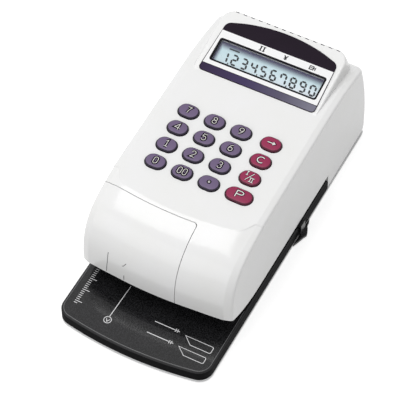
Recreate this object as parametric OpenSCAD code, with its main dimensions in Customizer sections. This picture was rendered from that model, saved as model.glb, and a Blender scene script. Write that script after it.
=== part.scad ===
/* [Body] */
// Width over the side walls
body_w = 108; // [104:1:120]
// Length from the front edge of the table to the rear face
body_l = 240; // [234:1:256]
// Height of the keypad face above the desk, at mid length
keypad_z = 77; // [75:0.5:84]
// Slope of the keypad face, degrees
keypad_tilt = 2.77; // [2:0.25:4]
// Rounding along the shoulders
shoulder_r = 4.2; // [3:0.2:5]
// Wall thickness of the moulded shells
wall = 2.2; // [1.8:0.1:2.6]
// Radius of the curved rear face
rear_r = 167; // [150:1:200]
// Radius of the shoulders' fall towards the rear
droop_r = 200; // [180:5:260]

/* [Nose] */
// How far the table stands out in front of the nose
table_reach = 33.8; // [28:0.2:38]
// Length of the curved nose
nose_len = 58.6; // [54:0.2:62]
// Fullness of the nose curve
nose_power = 2.75; // [2.4:0.05:3]
// Height of the nose's lower edge
nose_z = 28.8; // [27:0.2:31]
// Plan radius of the nose
nose_bow = 300; // [240:10:400]
// Right edge of the ink cover
cover_x = 16.1; // [12:0.5:22]
// Depth of the ink cover's top, measured back from the nose
cover_len = 31.9; // [28:0.5:36]
// Seam around the ink cover
seam = 0.35; // [0.3:0.05:0.5]
// How far the ink cover slides off forwards
cover_travel = 26; // [10:1:30]

/* [Base] */
// Height of the rubber feet below the tray
foot_h = 1; // [0.8:0.1:1.4]
// Height of the tray's rim
tray_h = 2; // [2:0.1:2.6]
// Height of the print table above the tray
table_h = 8; // [8:0.2:10]
// Height of the paper gap under the head
slot_gap = 6; // [5.8:0.1:7]
// Length of the rear part that closes the paper gap
rear_len = 60; // [56:1:66]
// Plan radius of the table's front edge
table_bow = 254; // [220:2:320]
// Width and fall of the table's bevel
bevel_w = 3.5; // [2.5:0.1:4]
bevel_h = 1.2; // [0.8:0.1:1.4]
// Diameter of the rubber feet
foot_d = 10; // [8:0.5:12]

/* [Display] */
// Width of the raised display block
disp_w = 92.4; // [90:0.4:96]
// Length from the block's lower edge to the rear face
disp_len = 66; // [62:1:72]
// Slope of the display face, degrees
disp_tilt = 11; // [10:0.25:12]
// Margin between the label and the block's sides
label_side = 4.8; // [3.4:0.1:6]
// Length of the label at its middle
label_l = 47.6; // [46:0.2:48]
// Radius of the label's arched upper edge
label_arch = 94.3; // [90:1:120]
// Thickness of the label
label_t = 0.6; // [0.4:0.1:1]
// Margin between the display window and the label's sides
lcd_side = 2.6; // [2.4:0.1:5]
// Length of the display window along the slope
lcd_l = 17.2; // [15:0.2:19]
// Distance from the label's lower edge to the window
lcd_low = 10.1; // [9:0.1:11]
// Number of vent notches along the rear edge
vents = 14; // [10:1:16]
// Pitch and width of the notches
vent_pitch = 5.66; // [5.2:0.02:5.7]
vent_w = 2.6; // [2:0.1:3]

/* [Keys] */
// Pitch across and along the keypad
key_px = 19; // [18.6:0.1:19.2]
key_py = 14.9; // [14.4:0.1:15.2]
// Distance from the number columns to the function column
key_gap_x = 21.4; // [20.8:0.1:22]
// Length and width of a key top
key_l = 14.8; // [14:0.1:15.6]
key_w = 10.8; // [10:0.1:11.6]
// Length of the print key
print_l = 19.6; // [18:0.1:20]
// Height of the key tops above the keypad face
key_rise = 2.2; // [1.6:0.1:3]
// Key travel
key_travel = 1.5; // [1:0.1:1.8]
// Clearance around a key
key_clear = 0.3; // [0.25:0.05:0.4]

/* [Print head] */
// Radius and width of the type wheel
wheel_r = 15; // [14:0.2:15.6]
wheel_w = 8; // [7:0.2:9]
// Place of the type wheel across the table
wheel_x = -22; // [-24:0.5:-20]
// Distance of the type wheel's axis behind the nose
wheel_in = 36.2; // [35.6:0.2:37.2]
// Number of characters around the wheel
type_count = 12; // [10:1:14]
// Module and tooth numbers of the wheel drive
gear_m = 0.8; // [0.75:0.05:0.8]
wheel_teeth = 36; // [34:2:36]
pinion_teeth = 12; // [12:2:14]
// Radius of the ink roller
ink_r = 9; // [8:0.2:9.4]
// Radius and length of the wheel motor
motor_r = 12; // [10:0.2:12.4]
motor_l = 20.5; // [17:0.5:21]
// Radius of the type shaft and of the small shafts
shaft_r = 2; // [1.8:0.1:2.2]
pin_r = 1.5; // [1.4:0.1:1.6]
// Running clearance of the shafts
run = 0.05; // [0.03:0.01:0.08]
// Thickness of the steel plates
plate = 1.5; // [1.2:0.1:1.7]

/* [Paper path] */
// Lift of the anvil
lift = 5.5; // [5:0.1:5.6]
// Stroke of the lift rod
stroke = 8; // [7:0.2:8.6]
// Length of the anvil along the machine
anvil_l = 7; // [6:0.2:7.4]
// Radius and length of the feed roller
feed_r = 3.8; // [3.6:0.05:3.9]
feed_l = 11; // [8:0.5:12]
// Place of the feed roller across the table
feed_x = 8; // [7:0.5:9]
// Radius of the pinch roller
pinch_r = 4; // [3.6:0.1:4.2]
// Length of the pinch arm across the machine
arm_l = 15; // [13:0.5:16]
// Width of the paper stop's tab
stop_w = 25.2; // [18:0.2:28]
// How far the tab stands out of the side
stop_out = 4.5; // [3.5:0.1:6]
// Middle of the paper stop along the machine
stop_y = 19; // [12:0.5:22]

/* [Hidden] */

half = body_w / 2;
front_y = -body_l / 2;
rear_y = body_l / 2;
nose_y = front_y + table_reach;
slot_end = rear_y - rear_len;
tray_z = foot_h + tray_h;
floor_t = 1.2;
floor_z = foot_h + floor_t;
table_z = tray_z + table_h;
slot_z = table_z + slot_gap;
play = 0.3;
far = 400;

// Side outline: keypad line, fall towards the rear, curved rear face
rear_mid_z = 18;
droop_y = slot_end - 5;
function keypad_at(y) = keypad_z + y * tan(keypad_tilt);
tan_pt = [droop_y, keypad_at(droop_y)];
up_n = [-sin(keypad_tilt), cos(keypad_tilt)];
droop_c = tan_pt - droop_r * up_n;
rear_c = [rear_y - rear_r, rear_mid_z];
low_r = 11;

// Nose curve
nose_axis_y = nose_y + nose_bow;
nose_rise = keypad_at(nose_y + nose_len) - nose_z + 0.4;
edge_r = 84;
edge_y = nose_y + 44.2;

// Display block
disp_y = rear_y - disp_len;
disp_z = keypad_at(disp_y);
disp_r = 3.5;
label_low = 0.6;
label_w = disp_w - 2 * label_side;
lcd_w = label_w - 2 * lcd_side;

// Keypad stack, heights below the keypad face
flange_t = 1;
flange_gap = 0.1;
stem_l = 1.3;
board_t = 1.6;
mat_t = 1;
mat_top = -wall - flange_gap - flange_t - stem_l - key_travel - play;
board_top = mat_top - mat_t;
key_x0 = -30.3;
key_back = 33.2;
key_y0 = disp_y - key_back;
fn_x = key_x0 + 2 * key_px + key_gap_x;
post_r = 3;

// Head plate
wheel_y = nose_y + wheel_in;
plate_z = slot_z + 0.4;
plate_top = plate_z + plate;
bend_y = wheel_y - 8;
plate_half = half - wall - play;

// Print head
wheel_z = slot_z + 0.2 + wheel_r;
motor_y = wheel_y + gear_m * (wheel_teeth + pinion_teeth) / 2;
cheek_gap = 15.5;
cheek_l = wheel_x - cheek_gap / 2 + 1.25;
cheek_r = cheek_l + cheek_gap;
gear_w = 3.5;
gear_x = cheek_r + plate + 1;
ink_dist = wheel_r + ink_r + play;
ink_y = wheel_y - ink_dist * sin(41);
ink_z = wheel_z + ink_dist * cos(41);
holder_t = 1.3;

// Anvil and lift rod
ramp = lift / stroke;
anvil_y = wheel_y - anvil_l / 2;
rod_z = floor_z + 0.2;
ramp_z = rod_z + 0.6;
rod_w = 6;
rod_t = 3.4;
rod_end = slot_end + 13.5;
plunger_z = rod_z + 7;
plunger_r = 2.5;

// Feed roller and pinch roller
feed_z = table_z + 0.15 - feed_r;
feed_y = wheel_y - feed_l / 2;
feed_m = 0.5;
feed_teeth = 14;
feed_motor_teeth = 28;
feed_gear_y = slot_end + 5.5;
feed_motor_z = feed_z + feed_m * (feed_teeth + feed_motor_teeth) / 2;
pinch_l = feed_l - 2;
pinch_z = plate_z + 0.2 + pinch_r;
arm_z = pinch_z + 3.4;
arm_x = feed_x + arm_l;
arm_t = 1.4;

// Paper stop
rail_w = 3;
rail_x = half - 8.5;
rail_y0 = edge_y + 6;
stop_lo = table_z + play;

// ---- shared shapes ----

// Extrudes a (Y, Z) outline across the machine, centred
module across(w) {
    translate([-w / 2, 0, 0]) rotate([90, 0, 90]) linear_extrude(w) children();
}

// Extrudes a (Y, Z) outline from x0 to x1
module span_x(x0, x1) {
    translate([x0, 0, 0]) rotate([90, 0, 90]) linear_extrude(x1 - x0) children();
}

// Extrudes an (X, Z) outline from y0 to y1
module span_y(y0, y1) {
    translate([0, y1, 0]) rotate([90, 0, 0]) linear_extrude(y1 - y0) children();
}

module box(lo, hi) {
    translate(lo) cube(hi - lo);
}

// Rod along X or along Y
module rod_x(x0, x1, y, z, r) {
    translate([x0, y, z]) rotate([0, 90, 0]) cylinder(r = r, h = x1 - x0, $fn = 48);
}

module rod_y(y0, y1, x, z, r) {
    translate([x, y1, z]) rotate([90, 0, 0]) cylinder(r = r, h = y1 - y0, $fn = 48);
}

module rounded(w, l, r) {
    square([w - 2 * r, l], center = true);
    square([w, l - 2 * r], center = true);
    for (sx = [-1, 1], sy = [-1, 1]) {
        translate([sx * (w / 2 - r), sy * (l / 2 - r)]) circle(r = r, $fn = 64);
    }
}

module stadium(l, w) {
    square([l - w, w], center = true);
    for (s = [-1, 1]) {
        translate([s * (l - w) / 2, 0]) circle(d = w, $fn = 64);
    }
}

// Local frames on the keypad face and on the display face
module on_keypad() {
    translate([0, 0, keypad_z]) rotate([keypad_tilt, 0, 0]) children();
}

module on_display() {
    translate([0, disp_y, disp_z]) rotate([disp_tilt, 0, 0]) children();
}

// Side outline without the display block, set in by t
module side_outline(t) {
    tp = tan_pt - t * up_n;
    fp = [nose_y - 10, keypad_at(nose_y - 10) - t / cos(keypad_tilt)];
    wedge_far = droop_c + 2 * droop_r * up_n;
    intersection() {
        translate(rear_c) circle(r = rear_r - t, $fn = 200);
        union() {
            polygon([[nose_y - 10, -5], fp, tp, [rear_y, -5]]);
            intersection() {
                translate(droop_c) circle(r = droop_r - t, $fn = 240);
                polygon([droop_c, wedge_far, [far, droop_c[1]]]);
            }
        }
        union() {
            translate([-far, low_r]) square([2 * far, far]);
            translate([-far, t]) square([far + rear_y - low_r, low_r]);
            translate([rear_y - low_r, low_r]) circle(r = low_r - t, $fn = 64);
        }
    }
}

// Plan outline with rounded vertical corners, set in by t
module plan_outline(t) {
    rf = 7.5 - t;
    rr = 5.2 - t;
    hw = half - t;
    y0 = nose_y - 0.2 + t;
    y1 = rear_y - t;
    translate([-hw, y0 + rf]) square([2 * hw, y1 - rr - y0 - rf]);
    translate([-hw + rf, y0]) square([2 * (hw - rf), rf + 1]);
    translate([-hw + rr, y1 - rr - 1]) square([2 * (hw - rr), rr + 1]);
    for (s = [-1, 1]) {
        translate([s * (hw - rf), y0 + rf]) circle(r = rf, $fn = 96);
        translate([s * (hw - rr), y1 - rr]) circle(r = rr, $fn = 96);
    }
}

// Bar along Y with its two upper edges rounded
module rounded_bar(hw, top, r) {
    span_y(-far / 2, far / 2) {
        translate([-hw, -far]) square([2 * hw, far + top - r]);
        translate([-hw + r, top - r - 1]) square([2 * (hw - r), r + 1]);
        for (s = [-1, 1]) {
            translate([s * (hw - r), top - r]) circle(r = r, $fn = 64);
        }
    }
}

// Solid of revolution that gives the nose its curve, set in by t
module nose_bowl(t) {
    steps = 12;
    a = nose_len - t;
    b = nose_rise - t;
    curve = [for (i = [0:steps]) let (q = 90 * i / steps)
        [nose_bow - nose_len + a * pow(cos(q), 2 / nose_power), nose_z + b * pow(sin(q), 2 / nose_power)]];
    translate([0, nose_axis_y, 0]) rotate_extrude($fn = 240)
        polygon(concat([[0, -5], [nose_bow - t, -5]], curve, [[nose_bow - nose_len, 130], [0, 130]]));
}

// Outer form of head and rear part in one, set in by t
module form(t) {
    intersection() {
        across(2 * (half - t)) side_outline(t);
        nose_bowl(t);
        linear_extrude(far / 2) plan_outline(t);
        on_keypad() rounded_bar(half - t, -t, shoulder_r - t / 2);
    }
}

// Raised display block, set in by t
module block(t) {
    intersection() {
        across(disp_w - 2 * t) intersection() {
            translate(rear_c) circle(r = rear_r - t, $fn = 200);
            translate([disp_y - 6, disp_z - 22]) square([100, 60]);
        }
        on_display() rounded_bar(disp_w / 2 - t, -t, disp_r - t / 2);
        on_display() translate([-half, -1, -far / 2]) cube([body_w, 100, far]);
        linear_extrude(far / 2) block_plan(disp_w / 2 - t, rear_y - 14 - t, 8 - t);
    }
}

// Plan of the display block with its two rear corners rounded
module block_plan(hw, y1, r) {
    translate([-hw, disp_y - 20]) square([2 * hw, y1 - r - disp_y + 20]);
    translate([-hw + r, disp_y - 20]) square([2 * (hw - r), y1 - disp_y + 20]);
    for (s = [-1, 1]) {
        translate([s * (hw - r), y1 - r]) circle(r = r, $fn = 64);
    }
}

// What the paper gap takes out of the head
module gap_outline() {
    translate([-far, -5]) square([far + slot_end, slot_z + 5]);
    difference() {
        translate([-far, slot_z - 0.01]) square([far + edge_y, nose_z - slot_z + 0.01]);
        translate([edge_y, slot_z + edge_r]) circle(r = edge_r, $fn = 240);
    }
}

// Plan area of the ink cover, widened by g
module cover_area(g) {
    difference() {
        translate([-far, nose_y - 20]) square([far + cover_x + g, cover_len + 40]);
        translate([0, nose_axis_y]) circle(r = nose_bow - cover_len - g, $fn = 360);
    }
}

module shell() {
    difference() {
        union() {
            form(0);
            block(0);
        }
        form(wall);
        block(wall);
        across(2 * body_w) gap_outline();
        translate([-far, -far, -5]) cube([2 * far, 2 * far, tray_z + 5]);
    }
}

// Involute gear outline with a little backlash
function inv_deg(c) = tan(c) * 180 / PI - c;
function half_tooth(m, z, r) = let (rp = m * z / 2, rb = rp * cos(20))
    90 / z - 4.2 / rp + inv_deg(20) - inv_deg(acos(min(1, rb / r)));
module gear_outline(m, z) {
    rp = m * z / 2;
    rb = rp * cos(20);
    rf = rp - 1.2 * m;
    rs = [rf, max(rb, rf + 0.05), rp, rp + 0.45 * m, rp + 0.85 * m];
    polygon([for (i = [0:z - 1], k = [0:9]) let (
        r = rs[k < 5 ? k : 9 - k],
        h = half_tooth(m, z, max(r, rb)),
        q = 360 * i / z + (k < 5 ? -h : h)) [r * cos(q), r * sin(q)]]);
}

// ---- base ----

corner_r = 10;
corner_x = half - corner_r;
corner_y = front_y + table_bow - sqrt(pow(table_bow - corner_r, 2) - pow(corner_x, 2));
module table_plan(t) {
    touch_x = corner_x * (table_bow - t) / (table_bow - corner_r);
    intersection() {
        union() {
            translate([-half + t, corner_y]) square([body_w - 2 * t, body_l]);
            translate([-touch_x, front_y - 1]) square([2 * touch_x, 30]);
            for (s = [-1, 1]) {
                translate([s * corner_x, corner_y]) circle(r = corner_r - t, $fn = 64);
            }
        }
        translate([0, front_y + table_bow]) circle(r = table_bow - t, $fn = 360);
    }
}

foot_in = 14;
foot_front = 22;
foot_back = 30.5;
foot_at = [[half - foot_in, front_y + foot_front], [half - foot_in, rear_y - foot_back]];
screw_in = 9;
screw_front = 36;
screw_back = 12;
screw_at = [[half - screw_in, front_y + screw_front], [half - screw_in, slot_end + screw_back]];
module each_corner(list) {
    for (s = [-1, 1], p = list) {
        translate([s * p[0], p[1], 0]) children();
    }
}

screw_r = 1.3;
head_r = 2.8;
module base_tray() {
    color("gainsboro") difference() {
        intersection() {
            translate([0, 0, foot_h]) linear_extrude(tray_h) table_plan(0);
            across(body_w + 2) union() {
                translate([-far, 0]) square([far, 20]);
                translate([-10, 0]) intersection() {
                    square([far, 20]);
                    translate([10, 0]) side_outline(0);
                }
                translate([-10, 0]) square([10, 20]);
            }
            linear_extrude(20) union() {
                translate([-half, front_y - 1]) square([body_w, body_l / 2]);
                plan_outline(0);
            }
        }
        difference() {
            translate([0, 0, floor_z]) linear_extrude(tray_h) intersection() {
                table_plan(wall + 0.4);
                translate([-half, front_y]) square([body_w, body_l - 12]);
            }
            each_corner(screw_at) cylinder(r = post_r, h = 20, $fn = 48);
            each_corner(foot_at) cylinder(d = foot_d, h = foot_h + tray_h - 0.2, $fn = 48);
        }
        each_corner(screw_at) {
            translate([0, 0, -1]) cylinder(r = screw_r + 0.1, h = 20, $fn = 48);
            translate([0, 0, -1]) cylinder(r = head_r + 0.2, h = foot_h + 0.1 + head_t + 1, $fn = 48);
        }
    }
}

module print_table() {
    color("#2c2c31") difference() {
        intersection() {
            translate([0, 0, tray_z]) linear_extrude(table_h) table_plan(0);
            translate([0, front_y + table_bow, tray_z]) rotate_extrude($fn = 360)
                polygon([[0, 0], [table_bow, 0], [table_bow, table_h - bevel_h],
                    [table_bow - bevel_w, table_h], [0, table_h]]);
            span_y(front_y - 1, slot_end) polygon([[-half, tray_z], [half, tray_z],
                [half, table_z - bevel_h], [half - bevel_w, table_z], [-half + bevel_w, table_z],
                [-half, table_z - bevel_h]]);
        }
        difference() {
            translate([0, 0, tray_z - 1]) linear_extrude(table_h - 1) table_plan(wall);
            each_corner([screw_at[0]]) cylinder(r = post_r, h = 30, $fn = 48);
            feed_ribs();
        }
        each_corner([screw_at[0]]) cylinder(r = screw_r, h = tray_z + table_h - 2, $fn = 48);
        anvil_hole();
        box([-plate_half - 0.2, slot_end - plate, tray_z - 1], [plate_half + 0.2, slot_end + 1, table_z + 1]);
        translate([feed_x, 0, 0]) box([-feed_r - 0.4, feed_y - 0.4, feed_z], [feed_r + 0.4,
            feed_y + feed_l + 0.4, table_z + 1]);
    }
}

module anvil_hole() {
    translate([wheel_x, wheel_y, table_z]) cube([wheel_w + 2 * play, anvil_l + 2 * play, 12], center = true);
}

// Ribs under the table that carry the feed shaft
rib_y = [feed_y - 4, feed_y + feed_l + 2, slot_end - 4];
module feed_ribs() {
    for (y = rib_y) {
        difference() {
            box([feed_x - 6, y, tray_z], [feed_x + 6, y + 2, table_z]);
            rod_y(y - 1, y + 3, feed_x, feed_z, pin_r + run);
        }
    }
}

// Four corner feet and one under the middle of the tray
module feet() {
    color("#303030") {
        each_corner(foot_at) cylinder(d = foot_d, h = foot_h, $fn = 48);
        cylinder(d = foot_d, h = foot_h, $fn = 48);
    }
}

screw_l = 6;
head_t = 0.9;
module case_screws() {
    color("silver") each_corner(screw_at) {
        translate([0, 0, foot_h + 0.1]) cylinder(r = head_r, h = head_t, $fn = 48);
        translate([0, 0, foot_h + 0.1 + head_t]) cylinder(r = screw_r - 0.05, h = screw_l, $fn = 48);
    }
}

// ---- housing ----

module key_holes() {
    for (c = [0:2], r = [0:3]) {
        translate([key_x0 + c * key_px, key_y0 - r * key_py, 0]) stadium(key_l + 2 * key_clear,
            key_w + 2 * key_clear);
    }
    for (r = [0:3]) {
        translate([fn_x, key_y0 - r * key_py, 0]) stadium((r == 3 ? print_l : key_l) + 2 * key_clear,
            key_w + 2 * key_clear);
    }
}

module label_outline(t) {
    intersection() {
        translate([0, label_low + label_l / 2]) rounded(label_w - 2 * t, label_l - 2 * t, 2.5);
        translate([0, label_low + label_l - label_arch]) circle(r = label_arch - t, $fn = 200);
    }
}

module lcd_place() {
    translate([0, label_low + lcd_low + lcd_l / 2, 0]) children();
}

// Posts that carry the key board
board_x = [key_x0 - 12.5, fn_x + 13.5];
board_y = [key_y0 + 10, key_y0 - 3 * key_py - 9];
module key_posts(r, lo, hi) {
    for (x = board_x, y = board_y) {
        translate([x, y, lo]) cylinder(r = r, h = hi - lo, $fn = 48);
    }
}

module upper_housing() {
    color("whitesmoke") difference() {
        union() {
            difference() {
                shell();
                linear_extrude(far / 2) cover_area(seam / 2);
            }
            intersection() {
                form(wall / 2);
                on_keypad() key_posts(post_r, board_top, -wall / 2);
            }
            rear_bosses();
        }
        on_keypad() translate([0, 0, -wall - 1]) linear_extrude(wall + 2) key_holes();
        on_keypad() key_posts(0.9, board_top - 1, -wall - 1);
        on_display() lcd_place() translate([0, 0, -wall - 1]) linear_extrude(wall + 2)
            square([lcd_w, lcd_l], center = true);
        vent_cuts();
        inlet_hole();
        switch_hole();
    }
}

// Bosses on ribs of the side walls, for the rear case screws
module rear_bosses() {
    p = screw_at[1];
    difference() {
        union() {
            each_corner([p]) translate([0, 0, tray_z]) cylinder(r = post_r + 0.6, h = 14, $fn = 48);
            for (s = [-1, 1]) {
                translate([s * (p[0] + half - wall / 2) / 2, p[1], tray_z + 7])
                    cube([half - wall / 2 - p[0], 2, 14], center = true);
            }
        }
        each_corner([p]) cylinder(r = screw_r, h = 16, $fn = 48);
    }
}

module vent_cuts() {
    for (i = [0:vents - 1]) {
        translate([(i - (vents - 1) / 2) * vent_pitch, 0, 0]) span_x(-vent_w / 2, vent_w / 2)
            difference() {
                translate([rear_y - 30, disp_z - 12]) square([60, 60]);
                translate(rear_c) circle(r = rear_r - 0.9, $fn = 200);
            }
    }
}

module ink_cover() {
    color("white") intersection() {
        shell();
        linear_extrude(far / 2) cover_area(-seam / 2);
    }
}

// ---- display ----

module display_label() {
    color("#3b363e") on_display() difference() {
        linear_extrude(label_t) label_outline(0);
        lcd_place() translate([0, 0, -1]) linear_extrude(3) square([lcd_w - 1.6, lcd_l - 1.6], center = true);
    }
}

module lcd_window() {
    color("lightsteelblue", 0.5) on_display() lcd_place() union() {
        translate([0, 0, -1]) linear_extrude(1) rounded(lcd_w - 0.4, lcd_l - 0.4, 0.8);
        translate([0, 0, -0.2]) linear_extrude(0.2 + label_t) rounded(lcd_w - 2, lcd_l - 2, 0.8);
    }
}

module lcd_glass() {
    color("#b9c6c4") on_display() lcd_place() union() {
        translate([0, 0, -3.2]) linear_extrude(2) rounded(lcd_w - 0.6, lcd_l - 0.6, 0.6);
        translate([0, 0, -5.4]) linear_extrude(5.4 - wall - 1) rounded(lcd_w + 4, lcd_l + 4, 1);
        translate([0, 0, -wall - 1]) linear_extrude(1) difference() {
            rounded(lcd_w + 4, lcd_l + 4, 1);
            square([lcd_w, lcd_l], center = true);
        }
    }
}

// ---- keys ----

module key_shape(x, row, l) {
    on_keypad() translate([x, key_y0 - row * key_py, 0]) {
        translate([0, 0, -wall - flange_gap - flange_t]) linear_extrude(flange_t) stadium(l + 2, key_w + 1.8);
        intersection() {
            translate([0, 0, -wall - flange_gap]) linear_extrude(wall + flange_gap + key_rise)
                stadium(l, key_w);
            translate([0, 0, key_rise - 60]) sphere(r = 60, $fn = 128);
        }
        translate([0, 0, -wall - flange_gap - flange_t - stem_l]) cylinder(d = 5, h = stem_l, $fn = 48);
    }
}

module number_key(col, row) {
    color("#766688") key_shape(key_x0 + col * key_px, row, key_l);
}

module function_key(row, l) {
    color("#8b3453") key_shape(fn_x, row, l);
}

module key_7() {
    number_key(0, 0);
}

module key_8() {
    number_key(1, 0);
}

module key_9() {
    number_key(2, 0);
}

module key_4() {
    number_key(0, 1);
}

module key_5() {
    number_key(1, 1);
}

module key_6() {
    number_key(2, 1);
}

module key_1() {
    number_key(0, 2);
}

module key_2() {
    number_key(1, 2);
}

module key_3() {
    number_key(2, 2);
}

module key_0() {
    number_key(0, 3);
}

module key_00() {
    number_key(1, 3);
}

module key_dot() {
    number_key(2, 3);
}

module key_arrow() {
    function_key(0, key_l);
}

module key_clear() {
    function_key(1, key_l);
}

module key_mode() {
    function_key(2, key_l);
}

module key_print() {
    function_key(3, print_l);
}

board_mid = [(board_x[0] + board_x[1]) / 2, (board_y[0] + board_y[1]) / 2];
board_w = board_x[1] - board_x[0] + 8;
board_l = board_y[0] - board_y[1] + 8;
module key_mat() {
    color("#8f8f8f") on_keypad() difference() {
        translate([board_mid[0], board_mid[1], board_top]) linear_extrude(mat_t)
            rounded(board_w, board_l, 2);
        key_posts(post_r + 0.2, board_top - 1, board_top + mat_t + 1);
    }
}

module key_board() {
    color("seagreen") on_keypad() difference() {
        translate([board_mid[0], board_mid[1], board_top - board_t]) linear_extrude(board_t)
            rounded(board_w, board_l, 2);
        key_posts(1.1, board_top - board_t - 1, board_top + 1);
    }
}

module board_screws() {
    color("silver") on_keypad() {
        key_posts(2, board_top - board_t - 1.2, board_top - board_t);
        key_posts(0.85, board_top - board_t, board_top + 4);
    }
}

// ---- chassis and print head ----

module plate_outline(t) {
    slope = (nose_z - plate_z - 0.8) / (nose_y + 4.5 - bend_y);
    n = plate / cos(atan(slope));
    polygon([[nose_y + 4.5, nose_z - 0.8], [bend_y, plate_z], [slot_end - plate, plate_z],
        [slot_end - plate, tray_z], [slot_end, tray_z], [slot_end, plate_top],
        [bend_y, plate_top], [nose_y + 4.5, nose_z - 0.8 + n]]);
}

module head_plate() {
    color("#3a3a3e") difference() {
        union() {
            intersection() {
                across(2 * plate_half) plate_outline(plate);
                linear_extrude(100) plan_outline(wall + play);
                translate([0, nose_axis_y, 0]) cylinder(r = nose_bow - wall - 1.5, h = 100, $fn = 360);
            }
            box([-36, slot_end - plate / 2, floor_z], [36, slot_end + 3, floor_z + plate]);
        }
        box([wheel_x - wheel_w / 2 - 1, wheel_y - 10, slot_z - 2], [wheel_x + wheel_w / 2 + 1, wheel_y + 10,
            plate_top + 1]);
        box([gear_x - 1, wheel_y - 11, slot_z - 2], [gear_x + gear_w + 1, wheel_y + 11, plate_top + 1]);
        box([feed_x - pinch_r - 2, feed_y - 0.8, slot_z - 2], [arm_x - 1, feed_y + feed_l + 0.8,
            plate_top + 1]);
        box([wheel_x - rod_w / 2 - 1, slot_end - 5, 0], [wheel_x + rod_w / 2 + 1, slot_end + 5,
            rod_z + rod_t + 2.2]);
        box([feed_x - 4.5, slot_end - 5, 0], [feed_x + 4.5, slot_end + 5, feed_z + 2.5]);
    }
}

cheek_toe = 6;
cheek_l2 = 34;
cheek_low = 16;
cheek_high = 24;
cheek_over = 13;
cheek_lip = 9;
cheek_under = 5;
module cheek(x) {
    span_x(x, x + plate) polygon([[wheel_y + cheek_toe, plate_top], [wheel_y + cheek_l2, plate_top],
        [wheel_y + cheek_l2, wheel_z + cheek_low], [wheel_y + cheek_toe + 4, wheel_z + cheek_high],
        [ink_y + cheek_toe, ink_z + cheek_over], [ink_y - cheek_toe, ink_z + cheek_lip],
        [ink_y - cheek_toe, ink_z - cheek_under], [wheel_y - cheek_toe, plate_top + cheek_under]]);
}

module head_frame() {
    color("#9a9da1") difference() {
        union() {
            cheek(cheek_l - plate);
            cheek(cheek_r);
            box([cheek_l - 0.01, wheel_y + cheek_l2 - 10, plate_top], [cheek_r + 0.01,
                wheel_y + cheek_l2, plate_top + 1]);
        }
        rod_x(cheek_l - 5, cheek_r + 5, wheel_y, wheel_z, shaft_r + run);
        rod_x(cheek_l - 5, cheek_r + 5, motor_y, wheel_z, pin_r + run);
        rod_x(cheek_l - 5, cheek_r + 5, ink_y, ink_z, 4);
    }
}

module type_wheel() {
    color("#b08d57") difference() {
        union() {
            rod_x(wheel_x - wheel_w / 2, wheel_x + wheel_w / 2, wheel_y, wheel_z, wheel_r - 1);
            translate([wheel_x, wheel_y, wheel_z]) for (i = [0:type_count - 1]) {
                rotate([360 * i / type_count, 0, 0]) translate([-wheel_w / 2 + 1, -2.4, wheel_r - 2.5])
                    cube([wheel_w - 2, 4.8, 2.3]);
            }
            rod_x(cheek_l + 0.2, cheek_r - 0.2, wheel_y, wheel_z, shaft_r + 2.5);
        }
        rod_x(wheel_x - 20, wheel_x + 20, wheel_y, wheel_z, shaft_r + 0.02);
    }
}

module type_shaft() {
    color("silver") union() {
        rod_x(cheek_l - plate - 0.2, gear_x + gear_w, wheel_y, wheel_z, shaft_r);
        rod_x(cheek_l - plate - 1.4, cheek_l - plate - 0.2, wheel_y, wheel_z, shaft_r + 1);
    }
}

module wheel_gear() {
    color("ivory") difference() {
        union() {
            span_x(gear_x, gear_x + gear_w) translate([wheel_y, wheel_z]) gear_outline(gear_m, wheel_teeth);
            rod_x(gear_x - 0.8, gear_x + gear_w, wheel_y, wheel_z, shaft_r + 2);
        }
        rod_x(gear_x - 2, gear_x + gear_w + 1, wheel_y, wheel_z, shaft_r + 0.02);
    }
}

module motor_pinion() {
    color("khaki") union() {
        span_x(gear_x, gear_x + gear_w) translate([motor_y, wheel_z]) rotate(180 / pinion_teeth)
            gear_outline(gear_m, pinion_teeth);
        rod_x(cheek_l - plate - 6, gear_x + gear_w, motor_y, wheel_z, pin_r);
    }
}

module wheel_motor() {
    color("#a8a8a8") difference() {
        rod_x(cheek_l - plate - motor_l, cheek_l - plate, motor_y, wheel_z, motor_r);
        rod_x(cheek_l - plate - 6.3, cheek_l, motor_y, wheel_z, pin_r + run);
    }
}

ink_x0 = cheek_l + play + holder_t + play;
ink_x1 = cheek_r - play - holder_t - play;
module ink_roller() {
    color("#5a2430") union() {
        rod_x(ink_x0, ink_x1, ink_y, ink_z, ink_r);
        rod_x(cheek_l + play, cheek_r - play, ink_y, ink_z, pin_r);
    }
}

module ink_holder() {
    color("#46464c") difference() {
        union() {
            difference() {
                rod_x(cheek_l + play, cheek_r - play, ink_y, ink_z, ink_r + 2.2);
                rod_x(ink_x0 - play, ink_x1 + play, ink_y, ink_z, ink_r + 0.8);
            }
            rod_x(cheek_l - plate + 0.1, cheek_l + play, ink_y, ink_z, 3.9);
            rod_x(cheek_r - play, cheek_r + plate - 0.1, ink_y, ink_z, 3.9);
        }
        rod_x(cheek_l - 5, cheek_r + 5, ink_y, ink_z, pin_r + run);
        translate([wheel_x - 20, wheel_y, wheel_z]) rotate([41, 0, 0]) translate([0, -20, -10])
            cube([40, 40, ink_dist + 10 - 3.2]);
    }
}

// ---- anvil and lift ----

function ramp_at(y) = ramp_z + ramp * (y - anvil_y);

module anvil() {
    color("silver") span_x(wheel_x - wheel_w / 2, wheel_x + wheel_w / 2) polygon([
        [anvil_y, ramp_at(anvil_y) + 0.1], [anvil_y + anvil_l, ramp_at(anvil_y + anvil_l) + 0.1],
        [anvil_y + anvil_l, table_z - 0.1], [anvil_y, table_z - 0.1]]);
}

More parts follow.
